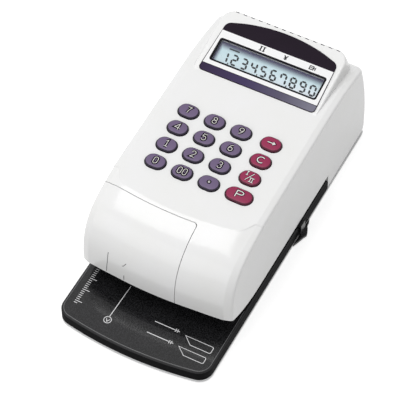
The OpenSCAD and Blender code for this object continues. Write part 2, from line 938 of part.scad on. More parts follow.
rod_foot = 3;
plunger_l = 26;
coil_gap = 11;
coil_l = 22;
coil_half = 8;
module lift_rod() {
    color("darkgray") union() {
        span_x(wheel_x - rod_w / 2, wheel_x + rod_w / 2) polygon([[anvil_y, rod_z], [anvil_y, ramp_z],
            [anvil_y + stroke, ramp_z + lift], [anvil_y + stroke + 5, ramp_z + lift],
            [anvil_y + stroke + 8, rod_z + rod_t], [rod_end, rod_z + rod_t],
            [rod_end, plunger_z + plunger_r + 0.5], [rod_end + rod_foot, plunger_z + plunger_r + 0.5],
            [rod_end + rod_foot, rod_z]]);
        rod_y(rod_end + rod_foot - 1, rod_end + plunger_l, wheel_x, plunger_z, plunger_r);
    }
}

module lift_solenoid() {
    color("#8a6a3a") difference() {
        box([wheel_x - coil_half, rod_end + coil_gap, floor_z], [wheel_x + coil_half,
            rod_end + coil_gap + coil_l, plunger_z + coil_half]);
        rod_y(rod_end + coil_gap - 1, rod_end + plunger_l + 4, wheel_x, plunger_z, plunger_r + run);
    }
}

// ---- feed and pinch ----

module feed_roller() {
    color("#4a4a4a") union() {
        rod_y(feed_y, feed_y + feed_l, feed_x, feed_z, feed_r);
        rod_y(feed_y - 3.5, bracket_y + plate - 0.2, feed_x, feed_z, pin_r);
    }
}

module feed_gear() {
    color("ivory") difference() {
        span_y(feed_gear_y, feed_gear_y + gear_w) translate([feed_x, feed_z]) rotate(90)
            gear_outline(feed_m, feed_teeth);
        rod_y(feed_gear_y - 1, feed_gear_y + gear_w + 1, feed_x, feed_z, pin_r + 0.02);
    }
}

module feed_pinion() {
    color("khaki") union() {
        span_y(feed_gear_y, feed_gear_y + gear_w) translate([feed_x, feed_motor_z])
            rotate(270 + 180 / feed_motor_teeth) gear_outline(feed_m, feed_motor_teeth);
        rod_y(feed_gear_y, feed_gear_y + gear_w + 9, feed_x, feed_motor_z, pin_r);
    }
}

bracket_y = feed_gear_y + gear_w + 1;
module feed_bracket() {
    color("#9a9da1") difference() {
        union() {
            box([feed_x - 12, bracket_y, floor_z], [feed_x + 12, bracket_y + plate, feed_motor_z + 11]);
            box([feed_x - 12, bracket_y + plate / 2, floor_z], [feed_x + 12, bracket_y + 9,
                floor_z + plate]);
        }
        rod_y(bracket_y - 2, bracket_y + 4, feed_x, feed_z, pin_r + run);
        rod_y(bracket_y - 2, bracket_y + 4, feed_x, feed_motor_z, pin_r + run);
    }
}

module feed_motor() {
    color("#a8a8a8") difference() {
        rod_y(bracket_y + plate, bracket_y + plate + 18, feed_x, feed_motor_z, 9.5);
        rod_y(bracket_y, bracket_y + plate + 7.5, feed_x, feed_motor_z, pin_r + run);
    }
}

arm_y = [feed_y - 0.4, feed_y + feed_l + 0.4 - arm_t];
module arm_side(y) {
    difference() {
        union() {
            rod_y(y, y + arm_t, arm_x, arm_z, 3);
            rod_y(y, y + arm_t, feed_x, pinch_z, 3);
            translate([feed_x, y, pinch_z]) rotate([0, -atan((arm_z - pinch_z) / arm_l), 0])
                translate([0, 0, -2]) cube([norm([arm_l, arm_z - pinch_z]), arm_t, 4]);
        }
        rod_y(y - 1, y + arm_t + 1, arm_x, arm_z, pin_r + run);
        rod_y(y - 1, y + arm_t + 1, feed_x, pinch_z, pin_r + run);
    }
}

module pinch_arm() {
    color("#9a9da1") union() {
        arm_side(arm_y[0]);
        arm_side(arm_y[1]);
        box([arm_x - 8, arm_y[0] + arm_t / 2, arm_z - 2], [arm_x - 5, arm_y[1] + arm_t / 2, arm_z - 0.6]);
    }
}

module pinch_roller() {
    color("#4a4a4a") union() {
        rod_y(wheel_y - pinch_l / 2 + 0.2, wheel_y + pinch_l / 2 - 0.2, feed_x, pinch_z, pinch_r);
        rod_y(arm_y[0], arm_y[1] + arm_t, feed_x, pinch_z, pin_r);
    }
}

lug_y = [arm_y[0] - 0.3 - plate, arm_y[1] + arm_t + 0.3];
module pinch_bracket() {
    color("#9a9da1") union() {
        for (y = lug_y) {
            box([arm_x - 3, y, plate_top], [arm_x + 3, y + plate, arm_z + 3]);
        }
        rod_y(lug_y[0] + 0.5, lug_y[1] + plate - 0.5, arm_x, arm_z, pin_r);
        box([arm_x + 3.2, lug_y[0], plate_top], [arm_x + 6, lug_y[1] + plate, plate_top + 1]);
        box([arm_x + 2.99, lug_y[0], plate_top], [arm_x + 3.21, lug_y[0] + plate, plate_top + 1]);
        box([arm_x + 2.99, lug_y[1], plate_top], [arm_x + 3.21, lug_y[1] + plate, plate_top + 1]);
    }
}

// ---- paper stop ----

module stop_rail() {
    color("silver") box([rail_x - rail_w / 2, rail_y0, plate_z - 3], [rail_x + rail_w / 2, slot_end - plate,
        plate_z]);
}

// Thumb tab of the paper stop: shares of its reach and of its width
tab_shape = [[0, -0.48], [0.42, -0.28], [0.73, -0.11], [1, -0.01], [0.9, 0.07], [0.6, 0.19], [0.28, 0.28],
    [0.2, 0.41], [0, 0.5]];
carriage_l = 20;
hook_w = 6;
hook_t = 1.2;
module paper_stop() {
    color("#222226") difference() {
        union() {
            box([rail_x - 3.2, stop_y - carriage_l / 2, stop_lo], [rail_x + 3.2, stop_y + carriage_l / 2,
                plate_z - play]);
            box([rail_x - 16, stop_y - carriage_l / 2, stop_lo], [rail_x - 3.19, stop_y - carriage_l / 2 + 2,
                plate_z - play]);
            box([rail_x + 3.19, stop_y - hook_w / 2, stop_lo], [half + play + hook_t, stop_y + hook_w / 2,
                stop_lo + 1.8]);
            box([half + play, stop_y - hook_w / 2, foot_h + 0.1], [half + play + hook_t, stop_y + hook_w / 2,
                stop_lo + 1.8]);
            translate([half + play, stop_y, foot_h + 0.1]) linear_extrude(tray_h - 0.3)
                polygon([for (p = tab_shape) [p[0] * (stop_out - play), p[1] * stop_w]]);
        }
        box([rail_x - rail_w / 2 - 0.15, -far, plate_z - 3.15], [rail_x + rail_w / 2 + 0.15, far,
            plate_z + 2]);
    }
}

// ---- electrics ----

post_z = 33;
post_in = 12;
post_front = 21;
post_back = 22;
post_at = [[half - post_in, slot_end + post_front], [half - post_in, rear_y - post_back]];
deck_in = 9;
deck_front = 6;
deck_back = 16;
chip_w = 18;
chip_h = 3;
can_x = 26;
can_r = 5;
can_h = 12;
module board_posts(lo, hi) {
    each_corner(post_at) translate([0, 0, lo]) cylinder(r = post_r, h = hi - lo, $fn = 48);
}

module main_board() {
    color("seagreen") union() {
        difference() {
            box([-half + deck_in, slot_end + deck_front, post_z], [half - deck_in, rear_y - deck_back,
                post_z + board_t]);
            each_corner(post_at) cylinder(r = 1.2, h = 60, $fn = 24);
        }
        board_posts(floor_z, post_z);
        translate([0, slot_end + post_front, post_z + board_t]) cube([chip_w, chip_w, chip_h]);
        translate([-can_x, slot_end + post_front, post_z + board_t]) cylinder(r = can_r, h = can_h,
            $fn = 48);
    }
}

core_w = 12;
core_l = 24;
bobbin_w = 17;
bobbin_l = 16;
core_x = half - 25;
core_y = slot_end + 30;
module transformer() {
    color("#6d6f73") union() {
        box([core_x - core_w / 2, core_y - core_l / 2, floor_z], [core_x + core_w / 2,
            core_y + core_l / 2, floor_z + core_l]);
        box([core_x - bobbin_w / 2, core_y - bobbin_l / 2, floor_z + (core_l - bobbin_l) / 2],
            [core_x + bobbin_w / 2, core_y + bobbin_l / 2, floor_z + (core_l + bobbin_l) / 2]);
    }
}

inlet_x = 28;
inlet_z = 52;
inlet_y = rear_c[0] + sqrt(pow(rear_r, 2) - pow(inlet_z - rear_mid_z, 2));
module inlet_hole() {
    translate([inlet_x, inlet_y, inlet_z]) rotate([90, 0, 0]) translate([0, 0, -10]) linear_extrude(30)
        stadium(16.6, 9.6);
}

module power_inlet() {
    color("#26262a") translate([inlet_x, inlet_y, inlet_z]) rotate([90, 0, 0]) difference() {
        union() {
            translate([0, 0, 0.4]) linear_extrude(15) stadium(16.2, 9.2);
            translate([0, 0, 5.5]) linear_extrude(2) stadium(20, 13);
        }
        linear_extrude(12) stadium(13.4, 6.4);
    }
}

switch_x = -28;
module switch_hole() {
    translate([switch_x, inlet_y, inlet_z]) cube([14.6, 40, 10.6], center = true);
}

module power_switch() {
    color("#26262a") translate([switch_x, inlet_y - 4.5, inlet_z]) rotate([0, 90, 0]) difference() {
        union() {
            cylinder(r = 5, h = 14, center = true, $fn = 64);
            cylinder(r = pin_r, h = 18, center = true, $fn = 32);
        }
        translate([4, 12.5, 0]) cylinder(r = 9, h = 20, center = true, $fn = 64);
    }
}

base_tray();
print_table();
upper_housing();
ink_cover();
head_plate();
display_label();
lcd_window();
lcd_glass();
key_0();
key_00();
key_dot();
key_1();
key_2();
key_3();
key_4();
key_5();
key_6();
key_7();
key_8();
key_9();
key_arrow();
key_clear();
key_mode();
key_print();
key_mat();
key_board();
board_screws();
main_board();
head_frame();
type_wheel();
type_shaft();
wheel_gear();
motor_pinion();
wheel_motor();
ink_roller();
ink_holder();
anvil();
lift_rod();
lift_solenoid();
feed_roller();
feed_gear();
feed_pinion();
feed_motor();
feed_bracket();
pinch_roller();
pinch_arm();
pinch_bracket();
stop_rail();
paper_stop();
transformer();
power_inlet();
power_switch();
feet();
case_screws();
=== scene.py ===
import bpy
import bmesh
from math import atan2, ceil, cos, degrees, dist, exp, pi, radians, sin, sqrt, tan
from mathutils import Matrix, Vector
from mathutils.bvhtree import BVHTree


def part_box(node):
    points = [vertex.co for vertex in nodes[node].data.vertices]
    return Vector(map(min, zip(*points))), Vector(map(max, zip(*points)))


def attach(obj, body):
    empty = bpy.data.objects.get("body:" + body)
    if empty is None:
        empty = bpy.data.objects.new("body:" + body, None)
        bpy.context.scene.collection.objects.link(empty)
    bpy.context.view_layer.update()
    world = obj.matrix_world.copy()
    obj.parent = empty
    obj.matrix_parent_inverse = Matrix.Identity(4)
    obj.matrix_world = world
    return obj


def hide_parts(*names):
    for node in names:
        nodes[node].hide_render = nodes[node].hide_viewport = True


print("loading the frame")
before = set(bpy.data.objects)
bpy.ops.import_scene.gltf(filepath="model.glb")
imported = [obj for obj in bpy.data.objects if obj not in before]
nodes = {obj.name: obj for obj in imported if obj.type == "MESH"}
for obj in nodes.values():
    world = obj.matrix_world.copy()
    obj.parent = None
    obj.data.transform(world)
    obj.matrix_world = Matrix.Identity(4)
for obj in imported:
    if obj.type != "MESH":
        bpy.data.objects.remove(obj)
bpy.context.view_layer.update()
scene = bpy.context.scene
mm = 0.001
camera = {"place": (384.3, -743.1, 1105.6), "aim": (0, -7, 40), "lens": 188.15, "shiftX": -0.0248, "shiftY": -0.0123,
          "sensor": 36, "near": 0.05, "far": 20}


def addObject(name, data):
    made = bpy.data.objects.new(name, data)
    scene.collection.objects.link(made)
    return made


def aimAt(piece, place, aim, unit=1.0):
    piece.location = Vector(place) * unit
    piece.rotation_mode = "QUATERNION"
    piece.rotation_quaternion = (Vector(aim) - Vector(place)).to_track_quat("-Z", "Y")


def makeCamera():
    data = bpy.data.cameras.new("deskCamera")
    data.sensor_width = camera["sensor"]
    data.lens = camera["lens"]
    data.shift_x = camera["shiftX"]
    data.shift_y = camera["shiftY"]
    data.clip_start = camera["near"]
    data.clip_end = camera["far"]
    scene.camera = addObject("deskCamera", data)
    aimAt(scene.camera, camera["place"], camera["aim"], mm)
    scene.view_settings.view_transform = "Standard"


makeCamera()
skins = {}  # every material by its name


def newMaterial(name):
    mat = bpy.data.materials.new(name)
    mat.use_nodes = True
    skins[name] = mat
    return mat.node_tree, mat.node_tree.nodes["Principled BSDF"]


def feed(tree, node, inputs):
    # an input takes a fixed value, or the output that it is linked to
    for key, value in inputs.items():
        if isinstance(value, bpy.types.NodeSocket):
            tree.links.new(value, node.inputs[key])
        else:
            node.inputs[key].default_value = value


def addNode(tree, kind, inputs=None, **settings):
    made = tree.nodes.new(kind)
    for key, value in settings.items():
        setattr(made, key, value)
    feed(tree, made, inputs or {})
    return made


def mathNode(tree, operation, inputs, **settings):
    return addNode(tree, "ShaderNodeMath", inputs, operation=operation, **settings).outputs[0]


def noiseAt(tree, scale, detail=3.0, rough=0.5, stretch=(1, 1, 1)):
    coords = addNode(tree, "ShaderNodeTexCoord")
    mapping = addNode(tree, "ShaderNodeMapping", {"Scale": stretch, "Vector": coords.outputs["Object"]})
    noise = addNode(tree, "ShaderNodeTexNoise", {"Scale": scale, "Detail": detail, "Roughness": rough,
                                                 "Vector": mapping.outputs["Vector"]})
    return noise.outputs["Fac"]


def rampOf(tree, source, stops):
    ramp = addNode(tree, "ShaderNodeValToRGB", {"Fac": source})
    line = ramp.color_ramp
    while len(line.elements) < len(stops):
        line.elements.new(0.5)
    for element, (place, colour) in zip(line.elements, stops):
        element.position = place
        element.color = (*colour, 1)
    return ramp.outputs["Color"]


def spread(tree, source, low, high):
    return addNode(tree, "ShaderNodeMapRange", {"To Min": low, "To Max": high, "Value": source}).outputs["Result"]


def between(tree, source, start, end, smooth=True):
    # 0 to 1 from one place to another, in mm
    return addNode(tree, "ShaderNodeMapRange", {"From Min": start * mm, "From Max": end * mm, "Value": source},
                   interpolation_type="SMOOTHSTEP" if smooth else "LINEAR").outputs["Result"]


def blendOf(tree, factor, first, second, how="MIX"):
    first, second = [(*c, 1) if isinstance(c, tuple) else c for c in (first, second)]
    return addNode(tree, "ShaderNodeMix", {"Factor": factor, 6: first, 7: second}, data_type="RGBA",
                   blend_type=how).outputs[2]


def scaled(colour, factor):
    return tuple(min(1.0, c * factor) for c in colour)


def reliefOf(tree, height, strength, softEdge, form):
    # fine bump over an edge that catches the light
    bump = addNode(tree, "ShaderNodeBump", {"Strength": strength, "Distance": form["depth"] * mm, "Height": height})
    if softEdge:
        bevel = addNode(tree, "ShaderNodeBevel", {"Radius": softEdge * mm}, samples=form["edgeSamples"])
        feed(tree, bump, {"Normal": bevel.outputs["Normal"]})
    return bump.outputs["Normal"]


grainForm = {"drift": 38, "polish": 160, "uneven": 0.06, "depth": 0.4, "edgeSamples": 6}
toolLines = {"blotch": 90, "darker": 0.88, "strength": 0.06, "depth": 0.3, "softEdge": 0.2, "edgeSamples": 4}


def mouldedPlastic(name, colour, rough, grain, grainScale, vary, specular, softEdge, tint=(1, 1, 1), speck=0.0):
    # spark-eroded grain, slow colour drift and uneven polish
    tree, shader = newMaterial(name)
    drift, polish = noiseAt(tree, grainForm["drift"], 4), noiseAt(tree, grainForm["polish"])
    fine = noiseAt(tree, grainScale, 2, 0.6)
    dark = scaled([c * t for c, t in zip(colour, tint)], 1 - vary)
    base = rampOf(tree, drift, [(0.3, dark), (0.7, scaled(colour, 1 + vary * 0.4))])
    if speck:
        flecks = rampOf(tree, fine, [(0.42, (0.3, 0.3, 0.3)), (0.62, (speck, speck, speck))])
        base = addNode(tree, "ShaderNodeVectorMath", {0: base, 1: flecks}, operation="MULTIPLY").outputs[0]
    feed(tree, shader, {"Base Color": base, "Specular IOR Level": specular,
                        "Roughness": spread(tree, polish, rough - grainForm["uneven"], rough + grainForm["uneven"]),
                        "Normal": reliefOf(tree, fine, grain, softEdge, grainForm)})


def turnedMetal(name, colour, rough, stretch, scale):
    # fine tool lines and a faint blotch
    tree, shader = newMaterial(name)
    lines, blotch = noiseAt(tree, scale, 5, 0.6, stretch), noiseAt(tree, toolLines["blotch"])
    dark = scaled(colour, toolLines["darker"])
    feed(tree, shader, {"Base Color": rampOf(tree, blotch, [(0.3, dark), (0.75, colour)]), "Metallic": 1.0,
                        "Roughness": spread(tree, lines, rough - 0.08, rough + 0.12),
                        "Normal": reliefOf(tree, lines, toolLines["strength"], toolLines["softEdge"], toolLines)})


plastics = {
    # colour, roughness, grain strength, grain scale, colour drift, specular, soft edge in mm; tint, flecks
    "shellWhite": ((0.83, 0.83, 0.833), 0.18, 0.012, 4200, 0.012, 0.45, 0.2, (1, 1, 0.985)),
    "trayGrey": ((0.78, 0.78, 0.785), 0.5, 0.05, 3800, 0.03, 0.35, 0.25),
    "tableBlack": ((0.024, 0.024, 0.026), 0.1, 0.02, 1300, 0.2, 0.42, 0.25, (1, 1, 1), 1.0),
    "tableBevel": ((0.01, 0.01, 0.011), 0.42, 0.1, 2600, 0.12, 0.25, 0),
    "tableEdge": ((0.002, 0.002, 0.0025), 0.6, 0.16, 2600, 0.12, 0.03, 0),
    "tablePrint": ((0.82, 0.82, 0.83), 0.6, 0.03, 3200, 0.08, 0.25, 0),
    "tableLine": ((0.15, 0.15, 0.155), 0.5, 0.03, 3200, 0.2, 0.3, 0),
    "markGrey": ((0.16, 0.16, 0.165), 0.5, 0.03, 3200, 0.2, 0.3, 0),
    "headBlack": ((0.02, 0.02, 0.022), 0.6, 0.1, 3000, 0.15, 0.3, 0.2),
    "keyViolet": ((0.142, 0.1, 0.19), 0.38, 0.05, 4200, 0.06, 0.32, 0.12),
    # darker copy of the violet for the key's sides and rounded edge: painted shade
    "keyVioletShaded": ((0.02, 0.014, 0.03), 0.45, 0.05, 4200, 0.1, 0.3, 0),
    "keyCrimson": ((0.28, 0.016, 0.072), 0.36, 0.05, 4200, 0.06, 0.3, 0.12),
    # darker copy of the crimson for the key's sides and rounded edge: painted shade
    "keyCrimsonShaded": ((0.085, 0.008, 0.027), 0.45, 0.05, 4200, 0.1, 0.3, 0),
    "keyLegend": ((0.78, 0.76, 0.73), 0.5, 0.02, 4200, 0.05, 0.3, 0),
    "keyLegendEdge": ((0.006, 0.004, 0.008), 0.7, 0.02, 4200, 0.05, 0.05, 0),
    "labelDark": ((0.013, 0.007, 0.015), 0.62, 0.015, 5200, 0.2, 0.1, 0.1),
    "labelWhite": ((0.88, 0.88, 0.885), 0.5, 0.01, 5200, 0.02, 0.2, 0),
    "inkBlack": ((0.008, 0.007, 0.01), 0.6, 0.02, 5200, 0.2, 0.08, 0),
    "footRubber": ((0.03, 0.03, 0.032), 0.85, 0.3, 1800, 0.2, 0.25, 0.3),
    "rollerRubber": ((0.045, 0.045, 0.05), 0.8, 0.3, 2200, 0.15, 0.25, 0.2),
    # near-black for the key wells: painted shade in the gaps around the keys
    "wellShadeBlack": ((0.008, 0.006, 0.01), 0.8, 0.2, 2200, 0.2, 0.15, 0),
    "stopBlack": ((0.01, 0.01, 0.011), 0.3, 0.05, 3600, 0.1, 0.5, 0.25),
    "nylonIvory": ((0.66, 0.6, 0.44), 0.45, 0.05, 3600, 0.05, 0.4, 0.15),
    "inkFoam": ((0.07, 0.012, 0.03), 0.95, 0.9, 1500, 0.3, 0.1, 0),
    "holderGrey": ((0.07, 0.07, 0.08), 0.5, 0.1, 3000, 0.1, 0.35, 0.2),
    "socketBlack": ((0.018, 0.018, 0.02), 0.35, 0.08, 3200, 0.1, 0.45, 0.3),
    "coilBrown": ((0.22, 0.11, 0.035), 0.4, 0.3, 1600, 0.2, 0.45, 0.2),
    "boardGreen": ((0.02, 0.11, 0.045), 0.38, 0.12, 900, 0.25, 0.45, 0.1),
    "matGrey": ((0.22, 0.22, 0.23), 0.75, 0.2, 2400, 0.1, 0.25, 0.2),
}
metals = {
    # colour, roughness, stretch and scale of the tool lines
    "steelPlain": ((0.58, 0.58, 0.6), 0.28, (40, 1, 40), 420),
    "zincPlate": ((0.5, 0.51, 0.52), 0.36, (3, 3, 3), 220),
    "brassTurned": ((0.62, 0.42, 0.16), 0.3, (40, 1, 40), 420),
    "motorSteel": ((0.42, 0.42, 0.43), 0.35, (1, 30, 30), 300),
}
print("mixing materials")
for skin, values in plastics.items():
    mouldedPlastic(skin, *values)
for skin, values in metals.items():
    turnedMetal(skin, *values)


def newObject(name, points, faces, slots, materials, smooth=False):
    mesh = bpy.data.meshes.new(name)
    mesh.from_pydata([(x * mm, y * mm, z * mm) for x, y, z in points], [], faces)
    for skin in materials:
        mesh.materials.append(skins[skin])
    for face, slot in zip(mesh.polygons, slots):
        face.material_index = slot
        face.use_smooth = smooth
    work = bmesh.new()
    work.from_mesh(mesh)
    bmesh.ops.recalc_face_normals(work, faces=work.faces)
    work.to_mesh(mesh)
    work.free()
    return addObject(name, mesh)


def dropObject(piece):
    mesh = piece.data
    bpy.data.objects.remove(piece)
    bpy.data.meshes.remove(mesh)


def carve(target, cutter, how="DIFFERENCE"):
    cut = target.modifiers.new("carve", "BOOLEAN")
    cut.operation = how
    cut.solver = "MANIFOLD"
    cut.object = cutter
    bpy.context.view_layer.update()
    made = bpy.data.meshes.new_from_object(target.evaluated_get(bpy.context.evaluated_depsgraph_get()))
    target.modifiers.clear()
    old = target.data
    target.data = made
    bpy.data.meshes.remove(old)
    dropObject(cutter)


def slab(outline, low, high, place, slot=0):
    # closed outline swept from low to high; place turns (u, v, w) into a point
    count = len(outline)
    points = [place(u, v, low) for u, v in outline] + [place(u, v, high) for u, v in outline]
    faces = [tuple(range(count)), tuple(range(2 * count - 1, count - 1, -1))]
    faces += [(i, (i + 1) % count, count + (i + 1) % count, count + i) for i in range(count)]
    return points, faces, [slot] * len(faces)


def stroke(line, width, low, high, place, closed=False, slot=0):
    # drawn line of one width as a thin closed strip
    count = len(line)
    points = []
    for i in range(count):
        here = Vector(line[i])
        back = Vector(line[i - 1]) if closed or i else here
        ahead = Vector(line[(i + 1) % count]) if closed or i < count - 1 else here
        into, out = (here - back), (ahead - here)
        into = into.normalized() if into.length else out.normalized()
        out = out.normalized() if out.length else into
        along = (into + out).normalized()
        reach = width / 2 / max(0.45, along.dot(into))  # sharp corners don't run out
        side = Vector((-along.y, along.x)) * reach
        points += [place(*spot, w) for w in (low, high) for spot in (here + side, here - side)]
    faces = []
    for i in range(count if closed else count - 1):
        a, b = i * 4, (i + 1) % count * 4
        faces += [(a, b, b + 1, a + 1), (a + 2, a + 3, b + 3, b + 2), (a, a + 2, b + 2, b),
                  (a + 1, b + 1, b + 3, a + 3)]
    if not closed:
        a = (count - 1) * 4
        faces += [(0, 1, 3, 2), (a, a + 2, a + 3, a + 1)]
    return points, faces, [slot] * len(faces)


def rings(levels, slots=None, capped=True):
    # rings of points stacked into one form, with a slot for each step
    count, steps = len(levels[0]), len(levels) - 1
    slots = slots or [0] * steps
    faces, marks = [], []
    for i in range(steps):
        for j in range(count):
            a, b = i * count + j, i * count + (j + 1) % count
            faces.append((a, b, b + count, a + count))
            marks.append(slots[i])
    if capped:
        faces += [tuple(range(count - 1, -1, -1)), tuple(range(steps * count, (steps + 1) * count))]
        marks += [slots[0], slots[-1]]
    return [p for ring in levels for p in ring], faces, marks


def assemble(name, solids, materials, body=None, smoothAngle=None):
    points, faces, slots = [], [], []
    for solid, parts, marks in solids:
        start = len(points)
        points += solid
        faces += [tuple(start + i for i in face) for face in parts]
        slots += marks
    made = newObject(name, points, faces, slots, materials, smoothAngle is not None)
    if smoothAngle:
        made.data.set_sharp_from_angle(angle=radians(smoothAngle))
    if body:
        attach(made, body)
    return made


def cutter(name, outline, low, high, place, slot=2):
    return assemble(name, [slab(outline, low, high, place, slot)], shellSlots)


def divide(line, step, closed=False):
    out = []
    for a, b in zip(line, line[1:] + line[:1] if closed else line[1:]):
        parts = max(1, int(ceil(dist(a, b) / step)))
        out += [(a[0] + (b[0] - a[0]) * i / parts, a[1] + (b[1] - a[1]) * i / parts) for i in range(parts)]
    return out if closed else out + [line[-1]]


shellSlots = ["shellWhite"] * 3  # outside, inner walls, cut faces


def upright(u, v, w):
    return u, v, w


def alongX(u, v, w):
    return w, u, v


def alongY(u, v, w):
    return u, w, v


def ellipse(cx, cy, rx, ry, start, end, steps=12):
    turns = [radians(start + (end - start) * i / steps) for i in range(steps + 1)]
    return [(cx + rx * cos(a), cy + ry * sin(a)) for a in turns]


def arcPoints(cx, cy, radius, start, end, steps):
    return ellipse(cx, cy, radius, radius, start, end, steps)


def pill(length, width, steps=12, grow=0.0):
    r = width / 2 + grow
    half = length / 2 - width / 2
    return arcPoints(half, 0, r, -90, 90, steps) + arcPoints(-half, 0, r, 90, 270, steps)


def roundedRect(x0, y0, x1, y1, r, steps=5):
    return (arcPoints(x1 - r, y0 + r, r, -90, 0, steps) + arcPoints(x1 - r, y1 - r, r, 0, 90, steps)
            + arcPoints(x0 + r, y1 - r, r, 90, 180, steps) + arcPoints(x0 + r, y0 + r, r, 180, 270, steps))


body = {
    "half": 54.0, "rear": 120.0, "wall": 2.2, "taper": 0.0204, "taperLow": 12, "taperRise": 65, "columns": 26,
    "keypadZ": 77.0, "keypadSlope": 2.77, "shoulder": 4.8, "noseEdge": 6.0, "noseY": -86.2, "noseLength": 58.6,
    "nosePower": 2.75, "noseZ": 28.8, "noseBow": 300.0, "bowEdge": 53.0, "droopY": 55.0, "droopRadius": 200.0,
    "rearRadius": 167.0, "rearMid": 18.0, "rearCorner": 4.6, "rearTurn": 6.5, "lowCorner": 11.0, "slotZ": 17.0,
    "slotArc": 84.0, "slotTurn": 30.7, "slotArcY": -42.0, "rearStart": 60.0, "trayTop": 3.0, "coverEdge": 16.1,
    "coverDepth": 31.9, "coverCorner": 2.3, "seam": 0.4, "creaseStart": 37.2, "creaseCorner": 12.0, "creaseY": -51.8,
    "creaseFade": 13.0, "creaseFront": -84,
    "frontSteps": (14.0, 22.0, 26.5), "noseSteps": 30, "noseEase": 0.3, "creaseSteps": (0.7, 0.25),
    "droopSteps": (55, 60, 66, 72, 78, 84, 90, 96, 101), "cornerLegs": (8, 9), "rearStep": 5, "rearLow": 19,
    "bowShare": ((0.25, 1.0), (0.7, 1.0), (3, 0.97), (7, 0.9), (12, 0.78), (20, 0.58), (30, 0.34), (42, 0.12),
                 (56, 0.0), (80, 0.0), (100, 0.0)),  # behind the crease: distance, share of the nose's curve
}
slope = tan(radians(body["keypadSlope"]))
tiltUp = (-sin(radians(body["keypadSlope"])), cos(radians(body["keypadSlope"])))
noseAxis = body["noseY"] + body["noseBow"]


def keypadAt(y):
    return body["keypadZ"] + slope * y


def taperAt(z):
    return 1 - body["taper"] * min(1.0, max(0.0, (z - body["taperLow"]) / body["taperRise"]))


def onKeypad(x, v, h):
    a = radians(body["keypadSlope"])
    return (x, v * cos(a) - h * sin(a), body["keypadZ"] + v * sin(a) + h * cos(a))


def noseProfile(count):
    # superellipse from the nose's lower edge to the crease on the keypad face
    rise = keypadAt(body["noseY"] + body["noseLength"]) - body["noseZ"] + 0.4
    power = 2 / body["nosePower"]

    def at(q):
        return (body["noseY"] + body["noseLength"] * (1 - cos(q) ** power),
                body["noseZ"] + rise * sin(q) ** power)
    low, high = 0.0, pi / 2
    for _ in range(60):
        mid = (low + high) / 2
        y, z = at(mid)
        low, high = (mid, high) if z < keypadAt(y) else (low, mid)
    return evenSteps([at(low * i / 600) for i in range(601)], count)


def evenSteps(points, count):
    lengths = [0.0]
    for a, b in zip(points, points[1:]):
        lengths.append(lengths[-1] + dist(a, b))
    out = []
    j = 0
    for i in range(count + 1):
        want = lengths[-1] * i / count
        while j < len(points) - 2 and lengths[j + 1] < want:
            j += 1
        t = (want - lengths[j]) / max(1e-9, lengths[j + 1] - lengths[j])
        out.append(tuple(a + (b - a) * t for a, b in zip(points[j], points[j + 1])))
    return out


def droopAt(y):
    # the top bends down towards the rear
    cy = body["droopY"] - body["droopRadius"] * tiltUp[0]
    cz = keypadAt(body["droopY"]) - body["droopRadius"] * tiltUp[1]
    return cz + sqrt(body["droopRadius"] ** 2 - (y - cy) ** 2)


def rearAt(z, grow=0.0):
    r = body["rearRadius"] + grow
    return body["rear"] - body["rearRadius"] + sqrt(r ** 2 - (z - body["rearMid"]) ** 2)


def roundCorner(before, corner, after, radius, steps):
    # arc that touches both straight legs
    a = (Vector(before) - Vector(corner)).normalized()
    b = (Vector(after) - Vector(corner)).normalized()
    half = a.angle(b) / 2
    reach = radius / tan(half)
    middle = Vector(corner) + (a + b).normalized() * (radius / sin(half))
    p, q = Vector(corner) + a * reach, Vector(corner) + b * reach
    start = atan2(p.y - middle.y, p.x - middle.x)
    end = atan2(q.y - middle.y, q.x - middle.x)
    while end - start > pi:
        end -= 2 * pi
    while end - start < -pi:
        end += 2 * pi
    turns = [start + (end - start) * i / steps for i in range(steps + 1)]
    return [(middle.x + radius * cos(t), middle.y + radius * sin(t)) for t in turns]


def bodyProfile():
    # (y, z, edge width, bow share, roundness) from the lower front edge over the top to the lower rear edge
    stations = [(body["noseY"], z, body["noseEdge"], 1.0, 0.0) for z in (body["trayTop"], *body["frontSteps"])]
    nose = noseProfile(body["noseSteps"])
    crease, extra = nose[-1], nose[-2]
    for i, (y, z) in enumerate(nose[1:-1]):
        ease = max(0.0, ((i + 1) / (len(nose) - 1) - body["noseEase"]) / (1 - body["noseEase"]))
        stations.append((y, z, body["noseEdge"] + (body["shoulder"] - body["noseEdge"]) * ease, 1.0, 0.0))
    gap = dist(extra, crease)
    for back in body["creaseSteps"]:
        k = back / gap
        stations.append((crease[0] + (extra[0] - crease[0]) * k, crease[1] + (extra[1] - crease[1]) * k,
                         body["shoulder"], 1.0, 0.0))
    stations += [(crease[0] + step, keypadAt(crease[0] + step), body["shoulder"], share, 0.0)
                 for step, share in body["bowShare"]]
    stations += [(y, droopAt(y), body["shoulder"], 0.0, 0.0) for y in body["droopSteps"]]
    cornerZ = 70.0
    for _ in range(60):  # the top and the rear wall meet
        cornerZ = droopAt(rearAt(cornerZ))
    cornerY = rearAt(cornerZ)
    y, z = cornerY - body["cornerLegs"][0], cornerZ - body["cornerLegs"][1]
    turn = roundCorner((y, droopAt(y)), (cornerY, cornerZ), (rearAt(z), z), body["rearTurn"], 8)
    stations += [(y, z, body["shoulder"], 0.0, i / (len(turn) - 1)) for i, (y, z) in enumerate(turn)]
    rear = []
    z = turn[-1][1] - 3
    while z > body["rearLow"]:
        rear.append((rearAt(z), z))
        z -= body["rearStep"]
    rear.append((body["rear"], body["rearMid"] - 1.0))
    low = body["lowCorner"]
    for i in range(7):
        a = radians(-8 * i)
        y, z = body["rear"] - low + low * cos(a), low + low * sin(a)
        if z > body["trayTop"] + 0.2:
            rear.append((y, z))
    rear.append((body["rear"] - low + sqrt(low ** 2 - (low - body["trayTop"]) ** 2), body["trayTop"]))
    return stations + [(y, z, body["rearCorner"], 0.0, 1.0) for y, z in rear]


